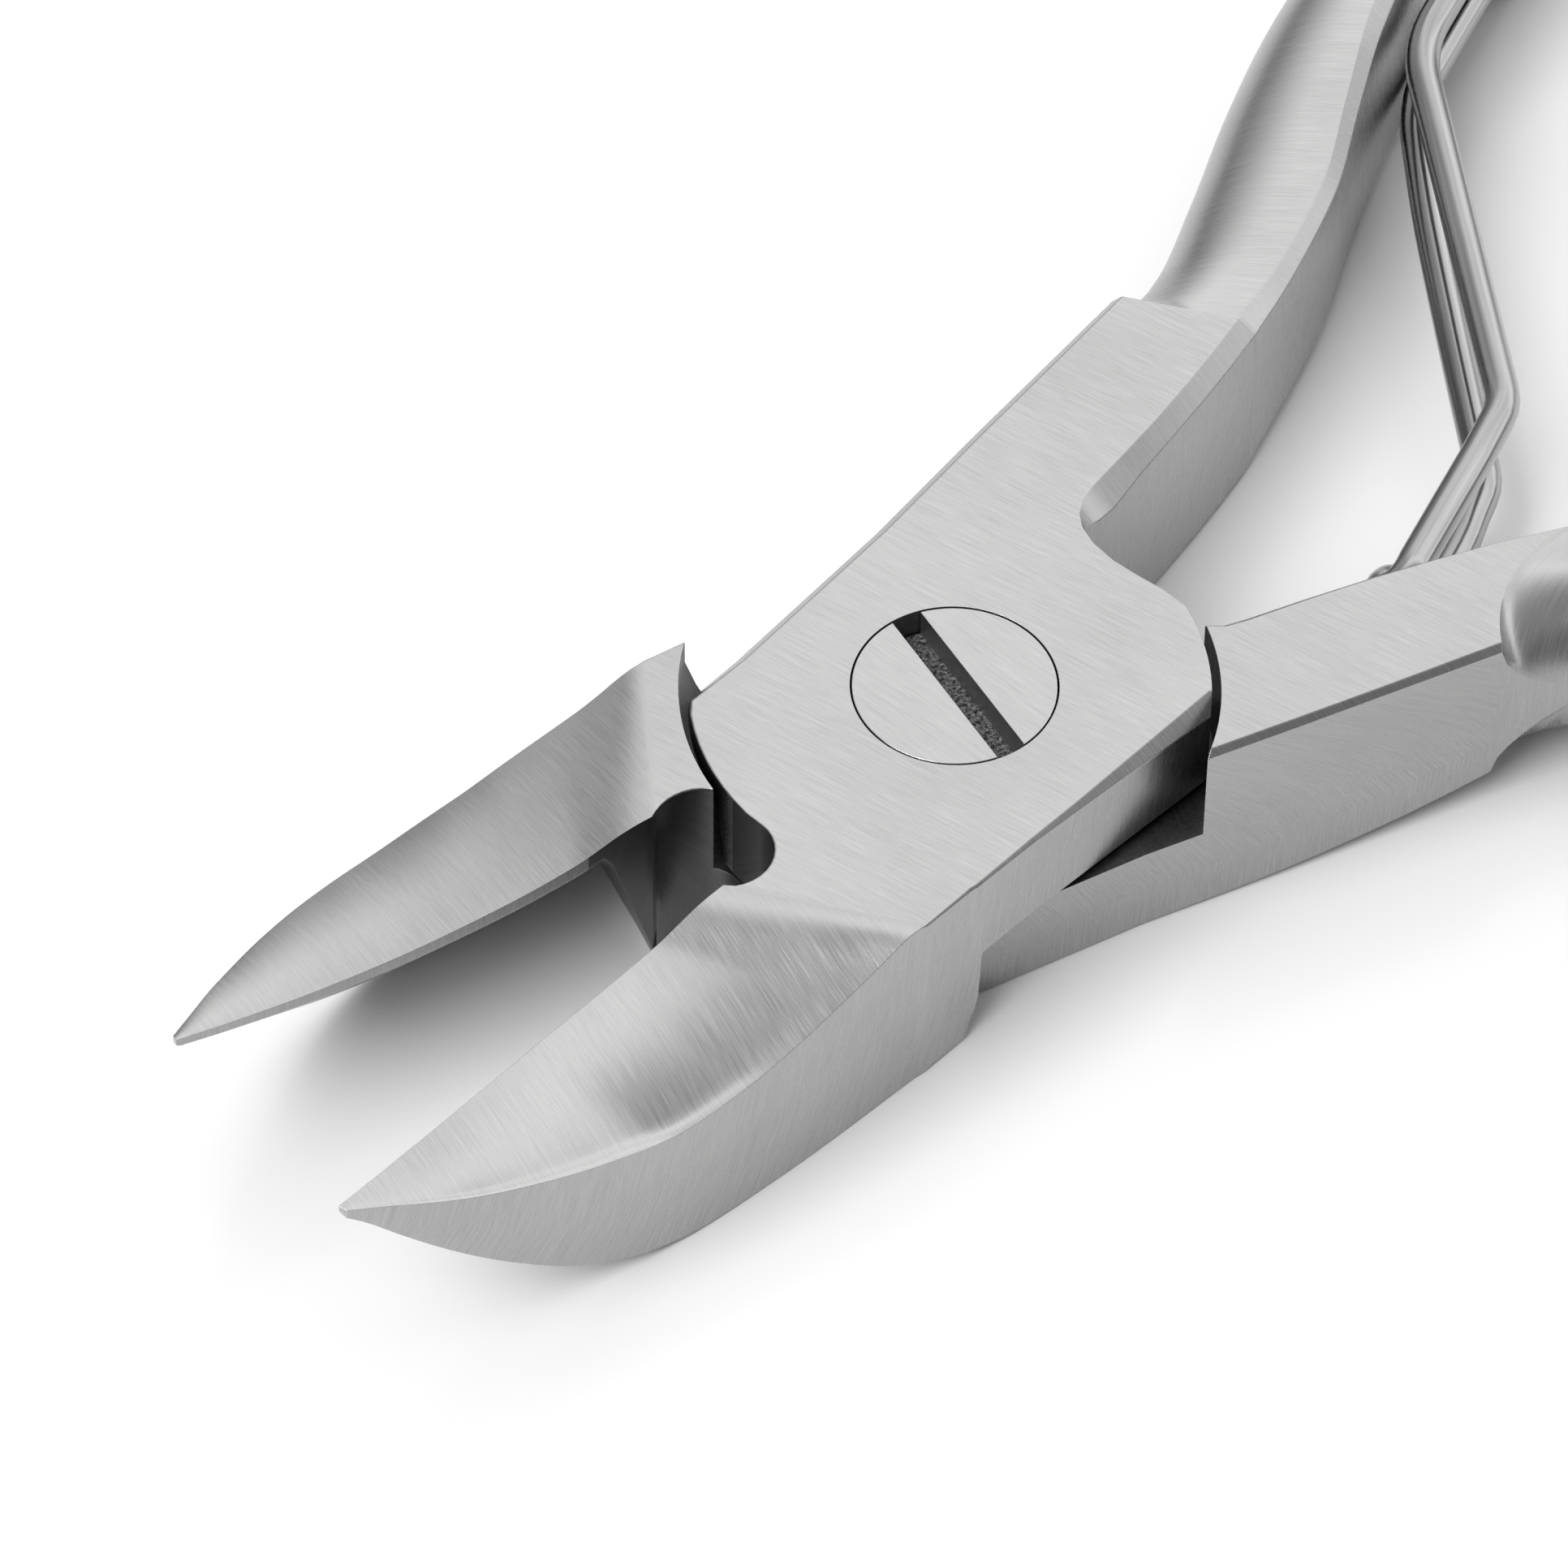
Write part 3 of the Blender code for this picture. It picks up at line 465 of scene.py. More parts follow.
def loft(name, rings, grain, slot=None):
    """Closed loft; grain(ring index, point index, point, normal) gives UVs and
    slot(ring index, point index) the material slot of a face."""
    bm = bmesh.new()
    rows = [[bm.verts.new(Vector(p) * MM) for p in ring] for ring in rings]
    where = {}
    for k, row in enumerate(rows):
        for i, v in enumerate(row):
            where[v] = (k, i)
    n = len(rings[0])
    for a, b in zip(rows, rows[1:]):
        for i in range(n):
            j = (i + 1) % n
            f = bm.faces.new((a[i], a[j], b[j], b[i]))
            if slot:
                f.material_index = slot(where[a[i]][0], i)
    bm.faces.new(rows[0][::-1])
    bm.faces.new(rows[-1])
    bmesh.ops.recalc_face_normals(bm, faces=bm.faces)
    uv = bm.loops.layers.uv.new("grain")
    for f in bm.faces:
        nrm = f.normal.copy()
        idx = [where[v] for v in f.verts]
        wrap = max(i for _, i in idx) - min(i for _, i in idx) > n // 2
        for loop in f.loops:
            k, i = where[loop.vert]
            loop[uv].uv = grain(k, i + n if wrap and i < n // 2 else i, Vector(rings[k][i]), nrm)
    return mesh_object(name, bm)


def arcs(rings):
    """Length run along the loft and round the section, for every point."""
    n = len(rings[0])
    along = [[0.0] * n]
    for a, b in zip(rings, rings[1:]):
        along.append([along[-1][i] + (Vector(b[i]) - Vector(a[i])).length for i in range(n)])
    around = []
    for ring in rings:
        row = [0.0]
        for i in range(1, n + 1):
            row.append(row[-1] + (Vector(ring[i % n]) - Vector(ring[i - 1])).length)
        around.append(row)
    return along, around


def lever_loft(name, lower, bow, turn, lines):
    rings, kinds = lever_rings(lower, bow)
    rings = [rounded(r, k) for r, k in zip(rings, kinds)]
    n = len(rings[0])
    along, around = arcs(rings)
    mean = [sum(row) / n for row in along]
    first = [Vector(ring[0]).to_2d() for ring in rings]

    def grain(k, i, p, nrm):
        j = i % n
        kind = kinds[k]
        if kind in ('handle', 'end'):
            w = around[k][i] if i <= n else around[k][n] + around[k][i - n]
            across = (p.to_2d() - first[k]).length
            return (mean[k] + lines[2] * across, w)
        if abs(nrm.z) > 0.55:
            return grain_flat(p, lines[0] if kind == 'jaw' else lines[1])
        return (along[k][j] + 0.04 * p.z, p.z)

    wall = n - WALL1_N - 6

    # inner wall faces near the mouth take slot 1, the dark steel that paints the shade inside the mouth
    def slot(k, i):
        near_mouth = kinds[k] == 'jaw' and rings[k][0].x < 13.6 or kinds[k] == 'plate' and rings[k][0].x > 6.5 and rings[k][0].y > -1.6
        return 1 if near_mouth and i >= wall else 0

    obj = loft(name, rings, grain, slot)
    if lower:
        for v in obj.data.vertices:
            v.co.y = -v.co.y
        obj.data.flip_normals()
    return obj


def recess(name, lower_face):
    if lower_face:
        levels = ((-9.0, 0.0), (-THICK, 0.0), (-5.7, 0.90), (PLATE_LOW, 1.0))
    else:
        levels = ((FLOOR_TOP, 1.0), (-3.2, 0.80), (-2.4, 0.58), (-1.05, 0.27), (-0.4, 0.06), (0.0, 0.0), (1.5, 0.0))
    rings = []
    n = 192
    for z, depth in levels:
        ring = []
        for i in range(n):
            a = 360.0 * i / n
            a = a - 360.0 if a > 180.0 else a
            if abs(a) < 90:
                r = shoulder(a, depth)
                if lower_face and z <= -THICK:
                    r = min(r, lerp(SHOULDER_JAW, 8.62, min(max((abs(a) - 16) / 10, 0), 1)))
            else:
                r = SHOULDER_HANDLE
            ring.append((*polar(r, a), z))
        rings.append(ring)
    return loft(name, rings, lambda k, i, p, nrm: grain_flat(p, 99) if abs(nrm.z) > 0.7
                else (8.8 * math.tau * i / n, p.z))


def collar(name):
    rings = []
    for i in range(49):
        a = lerp(-66.0, -14.0, i / 48)
        ring = []
        for z, depth in ((0.6, 0.0), (-0.4, 0.06), (-1.0, 0.27), (-2.4, 0.58), (PLATE_LOW - 0.15, 1.0), (-9.0, 1.0)):
            ring.append((*polar(shoulder(a, depth) - RUN_GAP, a), z))
        ring.append((*polar(12.5, a), -9.0))
        ring.append((*polar(12.5, a), 0.6))
        rings.append(ring)
    return loft(name, rings, lambda k, i, p, nrm: (8.6 * math.radians(-66 + 52 * k / 48), p.z))


def end_ring(name, mirror):
    rings = []
    for i in range(49):
        a = lerp(114.0, 172.0, i / 48)
        rings.append([(*polar(r, a), z) for r, z in
                      ((PLATE_END, 0.6), (PLATE_END, -9.0), (12.5, -9.0), (12.5, 0.6))])
    if mirror:
        rings = [[(x, -y, z) for x, y, z in ring] for ring in rings]
    return loft(name, rings, lambda k, i, p, nrm: (8.25 * math.radians(58 * k / 48), p.z))


def turned(name, profile, sides):
    """Closed turned body from a profile of (radius, z), axis to axis."""
    bm = bmesh.new()
    uv = bm.loops.layers.uv.new("grain")
    rows = []
    for r, z in profile:
        if r < 1e-6:
            rows.append([bm.verts.new((0, 0, z * MM))])
        else:
            rows.append([bm.verts.new((*(Vector(polar(r, 360 * i / sides)) * MM), z * MM)) for i in range(sides)])
    run = [0.0]
    for a, b in zip(profile, profile[1:]):
        run.append(run[-1] + math.hypot(b[0] - a[0], b[1] - a[1]))
    for k, (a, b) in enumerate(zip(rows, rows[1:])):
        for i in range(sides):
            j = (i + 1) % sides
            if len(a) == 1:
                f = bm.faces.new((a[0], b[i], b[j]))
            elif len(b) == 1:
                f = bm.faces.new((a[i], b[0], a[j]))
            else:
                f = bm.faces.new((a[i], b[i], b[j], a[j]))
            flat = abs(profile[k][1] - profile[k + 1][1]) < 1e-6
            for loop in f.loops:
                p = loop.vert.co / MM
                if flat:
                    loop[uv].uv = grain_flat(p, 99)
                else:
                    row = run[k] if loop.vert in a else run[k + 1]
                    col = i if loop.vert in (a[i % len(a)], b[i % len(b)]) else i + 1
                    loop[uv].uv = (row, 3.0 * math.tau * col / sides)
    bmesh.ops.recalc_face_normals(bm, faces=bm.faces)
    return mesh_object(name, bm)


def box_cutter(name, size, centre, angle):
    bm = bmesh.new()
    mat = (Matrix.Translation(Vector(centre) * MM) @ Matrix.Rotation(math.radians(angle), 4, 'Z')
           @ Matrix.Diagonal((size[0] * MM, size[1] * MM, size[2] * MM, 1.0)))
    bmesh.ops.create_cube(bm, size=1.0, matrix=mat)
    uv = bm.loops.layers.uv.new("grain")
    turn = Matrix.Rotation(-math.radians(angle), 3, 'Z')
    for f in bm.faces:
        for loop in f.loops:
            p = turn @ (loop.vert.co / MM)
            loop[uv].uv = (p.y, p.x) if abs(f.normal.z) > 0.5 else (p.x + p.y, p.z)
    return mesh_object(name, bm)


def finish_piece(obj, cutters, turn, sharp):
    """Cuts, turns into the open position and smooths, all in the mesh."""
    for c in cutters:
        mod = obj.modifiers.new(c.name, 'BOOLEAN')
        mod.operation, mod.solver, mod.object = 'DIFFERENCE', 'EXACT', c
        mod.material_mode = 'TRANSFER'
    bpy.context.view_layer.update()
    mesh = bpy.data.meshes.new_from_object(obj.evaluated_get(bpy.context.evaluated_depsgraph_get()))
    obj.modifiers.clear()
    obj.data = mesh
    bm = bmesh.new()
    bm.from_mesh(mesh)
    bmesh.ops.dissolve_degenerate(bm, dist=2e-7, edges=bm.edges)
    bm.to_mesh(mesh)
    bm.free()
    mesh.transform(Matrix.Translation((PIVOT_X * MM, PIVOT_Y * MM, THICK * MM))
                   @ Matrix.Rotation(math.radians(turn), 4, 'Z'))
    mesh.shade_smooth()
    # wide faces keep their own normal beside the narrow strips of an edge
    bm = bmesh.new()
    bm.from_mesh(mesh)
    limit = math.radians(sharp)
    for e in bm.edges:
        if len(e.link_faces) == 2:
            turn_by = e.calc_face_angle(0.0)
            a, b = (f.calc_area() for f in e.link_faces)
            e.smooth = not (turn_by > limit or (turn_by > 0.05 and max(a, b) > 6.0 * min(a, b)))
    bm.to_mesh(mesh)
    bm.free()
    for c in cutters:
        bpy.data.objects.remove(c, do_unlink=True)
    return obj


# ------------------------------------------------------------------ materials
class Nodes:
    """Small helper that adds and wires shader nodes."""

    def __init__(self, tree):
        self.tree = tree

    def add(self, kind, props=None, **inputs):
        node = self.tree.nodes.new(kind)
        for k, v in (props or {}).items():
            setattr(node, k, v)
        for k, v in inputs.items():
            self.put(node, k.replace('_', ' '), v)
        return node

    def put(self, node, key, value):
        sock = node.inputs[key] if not key.isdigit() else node.inputs[int(key)]
        if isinstance(value, bpy.types.NodeSocket):
            self.tree.links.new(value, sock)
        else:
            sock.default_value = value

    def math(self, op, a, b=0.0, clamp=False):
        node = self.tree.nodes.new('ShaderNodeMath')
        node.operation, node.use_clamp = op, clamp
        self.put(node, '0', a)
        self.put(node, '1', b)
        return node.outputs[0]

    def remap(self, value, a, b, c, d, smooth=False):
        node = self.tree.nodes.new('ShaderNodeMapRange')
        node.interpolation_type = 'SMOOTHSTEP' if smooth else 'LINEAR'
        for i, v in enumerate((value, a, b, c, d)):
            self.put(node, str(i), v)
        return node.outputs[0]

    def noise(self, u, v, su, sv, detail=2.0, seed=0.0):
        """Noise drawn out along v; su and sv are cells per millimetre."""
        comb = self.tree.nodes.new('ShaderNodeCombineXYZ')
        self.put(comb, '0', self.math('MULTIPLY', u, su))
        self.put(comb, '1', self.math('MULTIPLY', v, sv))
        comb.inputs[2].default_value = seed
        node = self.tree.nodes.new('ShaderNodeTexNoise')
        node.inputs['Scale'].default_value = 1.0
        node.inputs['Detail'].default_value = detail
        node.inputs['Roughness'].default_value = 0.6
        self.tree.links.new(comb.outputs[0], node.inputs['Vector'])
        return node.outputs['Fac']


def steel(name, shade, rough, aniso, bump, lines=(20.0, 55.0, 0.30), edge=0.60, seed=0.0, mottled=0.0):
    """Ground steel: lines of unequal depth along the grain map's v, faint
    cross scratches, slight clouding, and edges brightened in the base colour, partly rubbed wear and partly a painted
    highlight."""
    mat = bpy.data.materials.new(name)
    mat.use_nodes = True
    tree = mat.node_tree
    n = Nodes(tree)
    bsdf = tree.nodes['Principled BSDF']
    uv = n.add('ShaderNodeUVMap', {'uv_map': 'grain'})
    sep = n.add('ShaderNodeSeparateXYZ')
    tree.links.new(uv.outputs[0], sep.inputs[0])
    u, v = sep.outputs[0], sep.outputs[1]
    # a slight wander so that the lines aren't ruled
    wander = n.math('MULTIPLY', n.noise(u, v, 0.5, 0.3, 1.0, seed + 9.0), 0.10)
    uw = n.math('ADD', u, wander)
    broad = n.noise(uw, v, lines[0] * 0.32, lines[2] * 1.1, 2.0, seed)
    mid = n.noise(uw, v, lines[0], lines[2] * 1.7, 2.0, seed + 2.0)
    fine = n.noise(uw, v, lines[1], lines[2] * 5.0, 2.0, seed + 4.0)
    deep = n.remap(n.noise(uw, v, lines[0] * 0.8, lines[2] * 2.6, 1.0, seed + 6.0), 0.66, 0.78, 0.0, 1.0, True)
    # a few crossing scratches, set at a slant to the rest
    us = n.math('ADD', n.math('MULTIPLY', u, 0.92), n.math('MULTIPLY', v, 0.38))
    vs = n.math('SUBTRACT', n.math('MULTIPLY', v, 0.92), n.math('MULTIPLY', u, 0.38))
    cross = n.remap(n.noise(us, vs, lines[0] * 0.9, 0.20, 1.0, seed + 11.0), 0.70, 0.80, 0.0, 1.0, True)
    cloud = n.noise(u, v, 0.16, 0.14, 3.0, seed + 15.0)
    speck = n.remap(n.noise(u, v, 7.0, 7.0, 3.0, seed + 19.0), 0.35, 0.70, 0.0, 1.0)
    # tone
    tone = n.remap(mid, 0.25, 0.75, 0.90, 1.10)
    tone = n.math('MULTIPLY', tone, n.remap(fine, 0.2, 0.8, 0.93, 1.07))
    tone = n.math('MULTIPLY', tone, n.remap(broad, 0.25, 0.75, 0.965, 1.035))
    tone = n.math('MULTIPLY', tone, n.remap(cloud, 0.3, 0.7, 0.96, 1.04))
    tone = n.math('SUBTRACT', tone, n.math('MULTIPLY', deep, 0.05))
    tone = n.math('ADD', tone, n.math('MULTIPLY', cross, 0.05))
    if mottled:
        tone = n.math('MULTIPLY', tone, n.remap(speck, 0.0, 1.0, 1.0 - mottled, 1.0 + mottled * 0.6))
    # edges brightened in the base colour, partly rubbed wear and partly a painted highlight, found from how far the
    # rounded normal leaves the true one
    bev = n.add('ShaderNodeBevel', {'samples': 4}, Radius=0.00003)
    geo = n.add('ShaderNodeNewGeometry')
    dot = n.add('ShaderNodeVectorMath', {'operation': 'DOT_PRODUCT'})
    tree.links.new(bev.outputs[0], dot.inputs[0])
    tree.links.new(geo.outputs['Normal'], dot.inputs[1])
    edge_wear_and_glint = n.remap(dot.outputs['Value'], 0.995, 0.90, 0.0, 1.0, True)
    edge_wear_and_glint = n.math('MULTIPLY', edge_wear_and_glint, n.remap(n.noise(u, v, 5.0, 3.0, 2.0, seed + 23.0), 0.3, 0.6, 0.25, 1.0))
    # painted highlight: the edge mask lifts the base colour along the edges
    tone = n.math('ADD', tone, n.math('MULTIPLY', edge_wear_and_glint, edge))
    val = n.math('MULTIPLY', tone, shade, True)
    comb = n.add('ShaderNodeCombineColor')
    n.put(comb, '0', n.math('MULTIPLY', val, 1.0))
    n.put(comb, '1', n.math('MULTIPLY', val, 0.998))
    n.put(comb, '2', n.math('MULTIPLY', val, 0.994))
    tree.links.new(comb.outputs[0], bsdf.inputs['Base Color'])
    r = n.math('ADD', n.remap(mid, 0.2, 0.8, rough - 0.05, rough + 0.05),
               n.remap(cloud, 0.3, 0.7, -0.02, 0.03))
    r = n.math('SUBTRACT', r, n.math('MULTIPLY', edge_wear_and_glint, 0.06))
    tree.links.new(r, bsdf.inputs['Roughness'])
    bsdf.inputs['Metallic'].default_value = 1.0
    bsdf.inputs['Anisotropic'].default_value = aniso
    tan = n.add('ShaderNodeTangent', {'direction_type': 'UV_MAP', 'uv_map': 'grain'})
    tree.links.new(tan.outputs[0], bsdf.inputs['Tangent'])
    height = n.math('ADD', n.math('MULTIPLY', mid, 0.55), n.math('MULTIPLY', fine, 0.35))
    height = n.math('SUBTRACT', height, n.math('MULTIPLY', deep, 0.12))
    height = n.math('SUBTRACT', height, n.math('MULTIPLY', cross, 0.3))
    if mottled:
        height = n.math('ADD', height, n.math('MULTIPLY', speck, mottled * 3.0))
    bmp = n.add('ShaderNodeBump')
    bmp.inputs['Strength'].default_value = 1.0
    bmp.inputs['Distance'].default_value = bump
    tree.links.new(height, bmp.inputs['Height'])
    tree.links.new(bev.outputs[0], bmp.inputs['Normal'])
    tree.links.new(bmp.outputs[0], bsdf.inputs['Normal'])
    return mat


# -------------------------------------------------------------------- pieces
LEVER = steel("ground_steel_upper", 0.41, 0.27, 0.62, 0.0000022, seed=1.0)
# lever B takes the same steel a little darker: painted shade for the duller light on its walls
LEVER_B_SHADED = steel("ground_steel_lower_shaded", 0.395, 0.27, 0.62, 0.0000022, seed=41.0)
SCREW = steel("ground_screw_head", 0.43, 0.30, 0.55, 0.0000022, seed=81.0)
# lap, bore and pocket faces: a rougher, mottled steel whose very dark base colour is painted shade in the joint's
# recesses
LAP_SHADED_STEEL = steel("lap_face_steel_painted_shade", 0.15, 0.42, 0.30, 0.000004, lines=(9.0, 24.0, 0.30), edge=0.25, seed=101.0, mottled=0.20)
# the same ground steel with a much darker base colour: painted shade on the mouth's inner walls
MOUTH_PAINTED_SHADE = steel("mouth_steel_painted_shade", 0.13, 0.34, 0.45, 0.000004, lines=(7.0, 20.0, 0.10), edge=0.3, seed=141.0)
SLOT = steel("milled_slot", 0.34, 0.48, 0.10, 0.000030, lines=(3.0, 7.0, 2.0), edge=0.4, seed=121.0, mottled=0.90)
SLOT_WALL = steel("slot_wall", 0.42, 0.36, 0.20, 0.000004, lines=(6.0, 15.0, 0.6), seed=131.0)
WIRE = steel("drawn_spring_wire", 0.34, 0.17, 0.30, 0.000002, lines=(5.0, 12.0, 0.06), edge=0.0, seed=161.0)


def lever(name, node, body, lower, bow, turn, lines, cutters, mat):
    obj = lever_loft(name, lower, bow, turn, lines)
    obj.data.materials.append(mat)
    obj.data.materials.append(MOUTH_PAINTED_SHADE)
    # the cut faces take the dark lap steel, painted shade in the recesses
    for c in cutters:
        c.data.materials.append(LAP_SHADED_STEEL)
    finish_piece(obj, cutters, turn, 30)
    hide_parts(node)
    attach(obj, body)
    return obj


bore = turned("bore_a", ((0, 1.0), (HEAD_R + 0.065, 1.0), (HEAD_R + 0.065, -HEAD_H - 0.10), (SHANK_R + 0.15, -HEAD_H - 0.10), (SHANK_R + 0.15, -6.0), (0, -6.0)), 128)
pocket = box_cutter("pocket_a", (8.4, 2 * WIRE_R + 0.50, 4.25), (*ANCHOR, -THICK / 2), ANCHOR_ANGLE)
lever_a = lever("upper_lever", "lever_a_upper", "lever_a", False, 0.0, HALF_OPEN, (75.0, 99.0, -0.27),
                [recess("recess_a", True), collar("collar_a"), end_ring("end_ring_a", False), bore, pocket],
                LEVER)

rec_b = recess("recess_b", False)
for vert in rec_b.data.vertices:
    vert.co.y = -vert.co.y
rec_b.data.flip_normals()
bore_b = turned("bore_b", ((0, -3.0), (SHANK_R + 0.05, -3.0), (SHANK_R + 0.05, -9.0), (0, -9.0)), 96)
lever_b = lever("lower_lever", "lever_b_lower", "lever_b", True, 0.95, -HALF_OPEN, (89.0, 65.0, -0.27),
                [rec_b, end_ring("end_ring_b", True), bore_b], LEVER_B_SHADED)

# pivot screw
screw = turned("slotted_pivot_screw", ((0.0, 0.0), (HEAD_R - 0.022, 0.0), (HEAD_R - 0.006, -0.006), (HEAD_R, -0.022), (HEAD_R, -HEAD_H), (SHANK_R, -HEAD_H), (SHANK_R, -THICK + 0.25),
                                       (SHANK_R - 0.2, -THICK + 0.05), (0.0, -THICK + 0.05)), 160)
driver = box_cutter("driver_slot", (9.0, SLOT_W, 2 * SLOT_D),
                    (SLOT_OFF * math.sin(math.radians(SLOT_ANGLE)),
                     -SLOT_OFF * math.cos(math.radians(SLOT_ANGLE)), 0.0), SLOT_ANGLE)
screw.data.materials.append(SCREW)
finish_piece(screw, [driver], 0.0, 30)
screw.data.materials.clear()
for m in (SCREW, SLOT, SLOT_WALL):
    screw.data.materials.append(m)
slot_dir = Vector(polar(1.0, SLOT_ANGLE))
slot_mid = Vector((PIVOT_X * MM, PIVOT_Y * MM)) + Vector((SLOT_OFF * math.sin(math.radians(SLOT_ANGLE)), -SLOT_OFF * math.cos(math.radians(SLOT_ANGLE)))) * MM
for poly in screw.data.polygons:
    c = poly.center
    off = abs((Vector((c.x, c.y)) - slot_mid).cross(slot_dir))
    if off < (SLOT_W / 2 + 0.01) * MM and c.z < (THICK - 0.01) * MM and c.z > (THICK - SLOT_D - 0.05) * MM:
        poly.material_index = 1 if abs(poly.normal.z) > 0.5 else 2
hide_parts("pivot_screw")
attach(screw, "lever_b")


def wire_path():
    """The closed run of the spring wire, as in the CAD but on finer points."""
    mid = -THICK / 2
    run = filleted(STRAND, 0.35)
    long = []
    for a, b in zip(run, run[1:]):
        n = max(1, int((b - a).length / 0.8))
        long += [a.lerp(b, k / n) for k in range(n)]
    long.append(run[-1])
    foot = smooth_path([long[-2], long[-1]] + list(FOOT), 6)[6:]
    upper = long[:-1] + foot
    lower = [Vector((p.x + through(SPREAD, p.x) * (p.y < 3.0), p.y, 2 * mid - p.z)) for p in upper[:-1]]
    path = upper + lower[::-1]
    d = (path[0] - path[1]).normalized()
    turn_r = path[0].z - mid
    bend = []
    for i in range(1, 20):
        a = math.radians(9.0 * i)
        bend.append(path[0] + d * (turn_r * math.sin(a)) + Vector((0, 0, -turn_r * (1 - math.cos(a)))))
    path += bend[::-1]
    clean = [path[0]]
    for p in path[1:]:
        if (p - clean[-1]).length > 0.06:
            clean.append(p)
    if (clean[0] - clean[-1]).length < 0.06:
        clean.pop()
    return clean


def tube(name, path, radius, sides):
    """Closed ring tube by parallel transport, its twist shared out evenly."""
    n = len(path)
    tans = [(path[(i + 1) % n] - path[i - 1]).normalized() for i in range(n)]
    ref = [Vector((0, 0, 1)).cross(tans[0]).normalized()]
    for i in range(1, n + 1):
        q = tans[i - 1].rotation_difference(tans[i % n])
        r = q @ ref[-1]
        r = (r - tans[i % n] * r.dot(tans[i % n])).normalized()
        ref.append(r)
    t0, r0, rn = tans[0], ref[0], ref[n]
    twist = math.atan2(r0.cross(rn).dot(t0), r0.dot(rn))
    bm = bmesh.new()
    uv = bm.loops.layers.uv.new("grain")
    rows, run = [], [0.0]
    for i in range(n):
        r = Matrix.Rotation(-twist * i / n, 3, tans[i]) @ ref[i]
        s = tans[i].cross(r)
        rows.append([bm.verts.new((path[i] + (r * math.cos(math.tau * k / sides) + s * math.sin(math.tau * k / sides)) * radius) * MM)
                     for k in range(sides)])
        run.append(run[-1] + (path[(i + 1) % n] - path[i]).length)
    for i in range(n):
        a, b = rows[i], rows[(i + 1) % n]
        for k in range(sides):
            j = (k + 1) % sides
            f = bm.faces.new((a[k], a[j], b[j], b[k]))
            for loop, (lu, lv) in zip(f.loops, ((k, i), (k + 1, i), (k + 1, i + 1), (k, i + 1))):
                loop[uv].uv = (math.tau * radius * lu / sides, run[lv])
    bmesh.ops.recalc_face_normals(bm, faces=bm.faces)
    obj = mesh_object(name, bm)
    obj.data.shade_smooth()
    return obj


wire = tube("two_strand_spring", wire_path(), WIRE_R, 20)
wire.data.transform(Matrix.Translation((PIVOT_X * MM, PIVOT_Y * MM, THICK * MM)))
wire.data.materials.append(WIRE)
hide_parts("wire_spring")
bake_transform(wire)

# --------------------------------------------------------------------- stage
view = Matrix.Rotation(-math.radians(219.6), 3, 'Z')     # camera-side frame to the part's frame


def stage_floor():
    bm = bmesh.new()
    bmesh.ops.create_grid(bm, x_segments=8, y_segments=8, size=1.6)
    obj = mesh_object("studio_floor", bm)
    mat = bpy.data.materials.new("white_acrylic")
    mat.use_nodes = True
    b = mat.node_tree.nodes['Principled BSDF']
    n = Nodes(mat.node_tree)
    co = n.add('ShaderNodeTexCoord')
    nz = n.add('ShaderNodeTexNoise')
    nz.inputs['Scale'].default_value = 6.0
    mat.node_tree.links.new(co.outputs['Object'], nz.inputs['Vector'])
    mat.node_tree.links.new(n.remap(nz.outputs['Fac'], 0.3, 0.7, 0.16, 0.22), b.inputs['Roughness'])
    b.inputs['Base Color'].default_value = (0.79, 0.79, 0.79, 1.0)
    b.inputs['Specular IOR Level'].default_value = 0.35
    obj.data.materials.append(mat)
    return obj


stage_floor()

world = bpy.data.worlds.new("soft_studio")
bpy.context.scene.world = world
world.use_nodes = True
wt = world.node_tree
wn = Nodes(wt)
tc = wn.add('ShaderNodeTexCoord')


def along_axis(axis):
    node = wn.add('ShaderNodeVectorMath', {'operation': 'DOT_PRODUCT'})
    wt.links.new(tc.outputs['Generated'], node.inputs[0])
    node.inputs[1].default_value = tuple(view @ Vector(axis))
    return node.outputs['Value']


back, side, high = along_axis((0, 1, 0)), along_axis((1, 0, 0)), along_axis((0, 0, 1))
# 0 at the far horizon, 0.5 overhead, 1 at the near horizon
arc = wn.math('DIVIDE', wn.math('ARCTAN2', high, back), math.pi)
ramp = wn.add('ShaderNodeValToRGB')
ramp.color_ramp.interpolation = 'B_SPLINE'
LIGHT = ((0.0, 0.70), (0.05, 0.85), (0.10, 1.35), (0.16, 2.30), (0.21, 1.70), (0.27, 1.16), (0.33, 2.10), (0.38, 1.75),
         (0.43, 0.85), (0.50, 0.45), (0.58, 0.45), (0.65, 0.45), (0.74, 0.25), (0.85, 0.22), (1.0, 0.45))
while len(ramp.color_ramp.elements) < len(LIGHT):
    ramp.color_ramp.elements.new(0.5)
for el, (pos, val) in zip(ramp.color_ramp.elements, LIGHT):
    el.position = pos
    el.color = (val / 2.5, val / 2.5, val / 2.5, 1.0)
wt.links.new(arc, ramp.inputs[0])
lum = wn.math('MULTIPLY', ramp.outputs[0], 2.3)
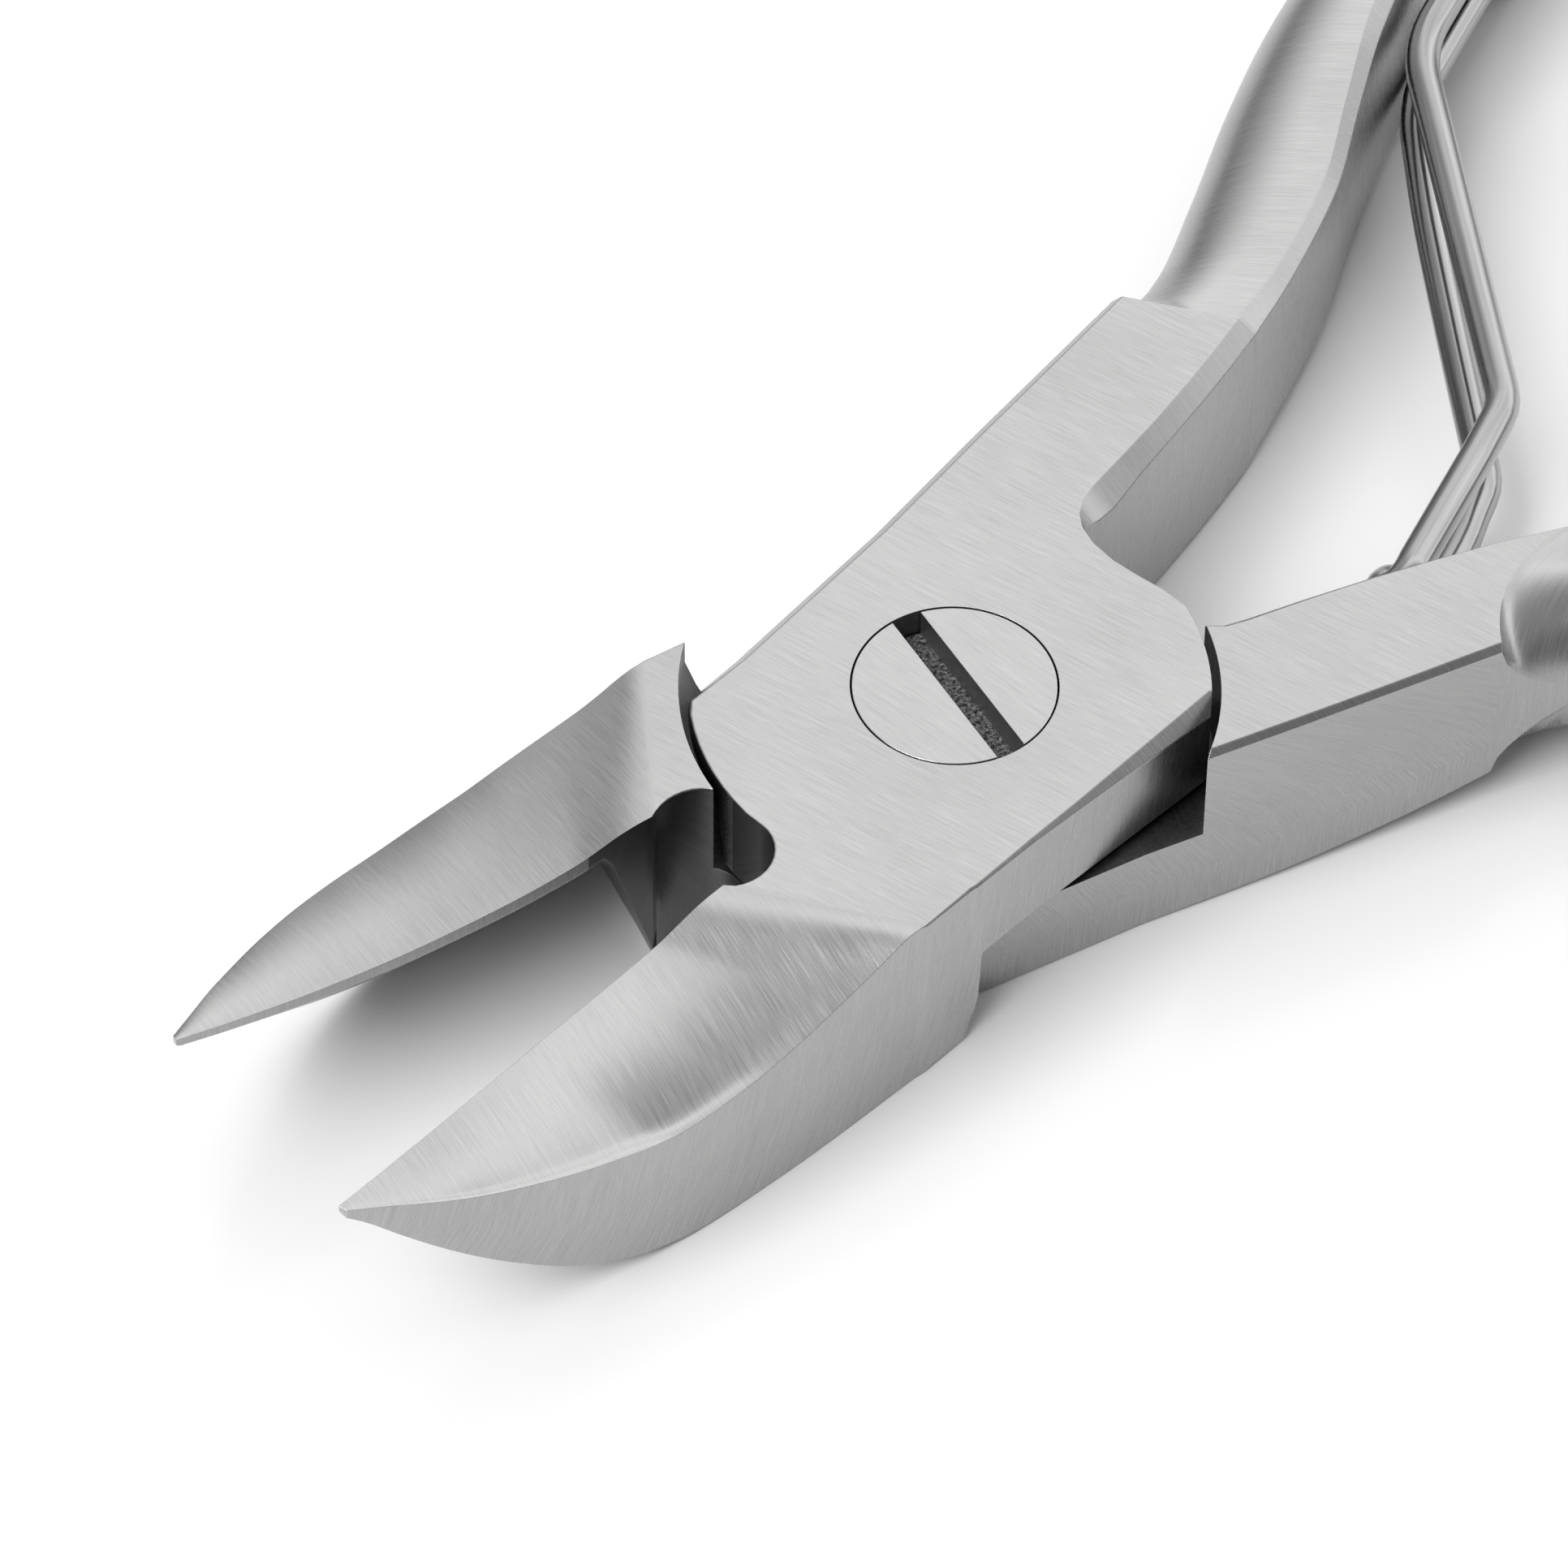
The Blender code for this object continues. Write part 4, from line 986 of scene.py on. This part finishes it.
lum = wn.math('MULTIPLY', lum, wn.remap(side, -0.50, 0.02, 0.40, 1.06, True))
bg = wt.nodes['Background']
wt.links.new(lum, bg.inputs['Strength'])
bg.inputs['Color'].default_value = (1.0, 1.0, 1.0, 1.0)


def softbox(name, at, size, power):
    light = bpy.data.lights.new(name, 'AREA')
    light.shape, light.size, light.size_y = 'RECTANGLE', size[0], size[1]
    light.energy = power
    obj = bpy.data.objects.new(name, light)
    bpy.context.scene.collection.objects.link(obj)
    p = view @ Vector(at)
    obj.location = p
    obj.rotation_euler = (-p).to_track_quat('-Z', 'Y').to_euler()


softbox("fill_softbox", (-0.50, -0.45, 0.75), (0.7, 0.7), 10.5)

# -------------------------------------------------------------------- camera
# measured framing: focal length in image widths, aim and distance in mm
FOCAL, ELEV, ROLL = 11000.0 / 1932.0, math.radians(49.7), math.radians(-0.5)
AIM_X, AIM_Y, DIST = (1176.2 - 966.0) / 11000.0, (844.3 - 966.0) / 11000.0, 286.05
xp = Vector((1, 0, 0))
up = Vector((0, math.sin(ELEV), math.cos(ELEV)))
fw = Vector((0, math.cos(ELEV), -math.sin(ELEV)))
cr, sr = math.cos(ROLL), math.sin(ROLL)
tx, ty = AIM_X * DIST, -AIM_Y * DIST
origin = xp * (cr * -tx + sr * -ty) + up * (-sr * -tx + cr * -ty) - fw * DIST
axes = (view @ (xp * cr - up * sr), view @ (xp * sr + up * cr), view @ -fw)
place = view @ origin * MM + Vector((PIVOT_X * MM, PIVOT_Y * MM, THICK * MM))
cam = bpy.data.objects.new("camera", bpy.data.cameras.new("camera"))
bpy.context.scene.collection.objects.link(cam)
cam.matrix_world = Matrix([[axes[0][r], axes[1][r], axes[2][r], place[r]] for r in range(3)] + [[0, 0, 0, 1]])
cam.data.sensor_width = 36.0
cam.data.lens = 36.0 * FOCAL
cam.data.clip_start, cam.data.clip_end = 0.01, 5.0
bpy.context.scene.camera = cam
bpy.context.scene.view_settings.view_transform = 'Standard'
bpy.context.scene.view_settings.look = 'None'
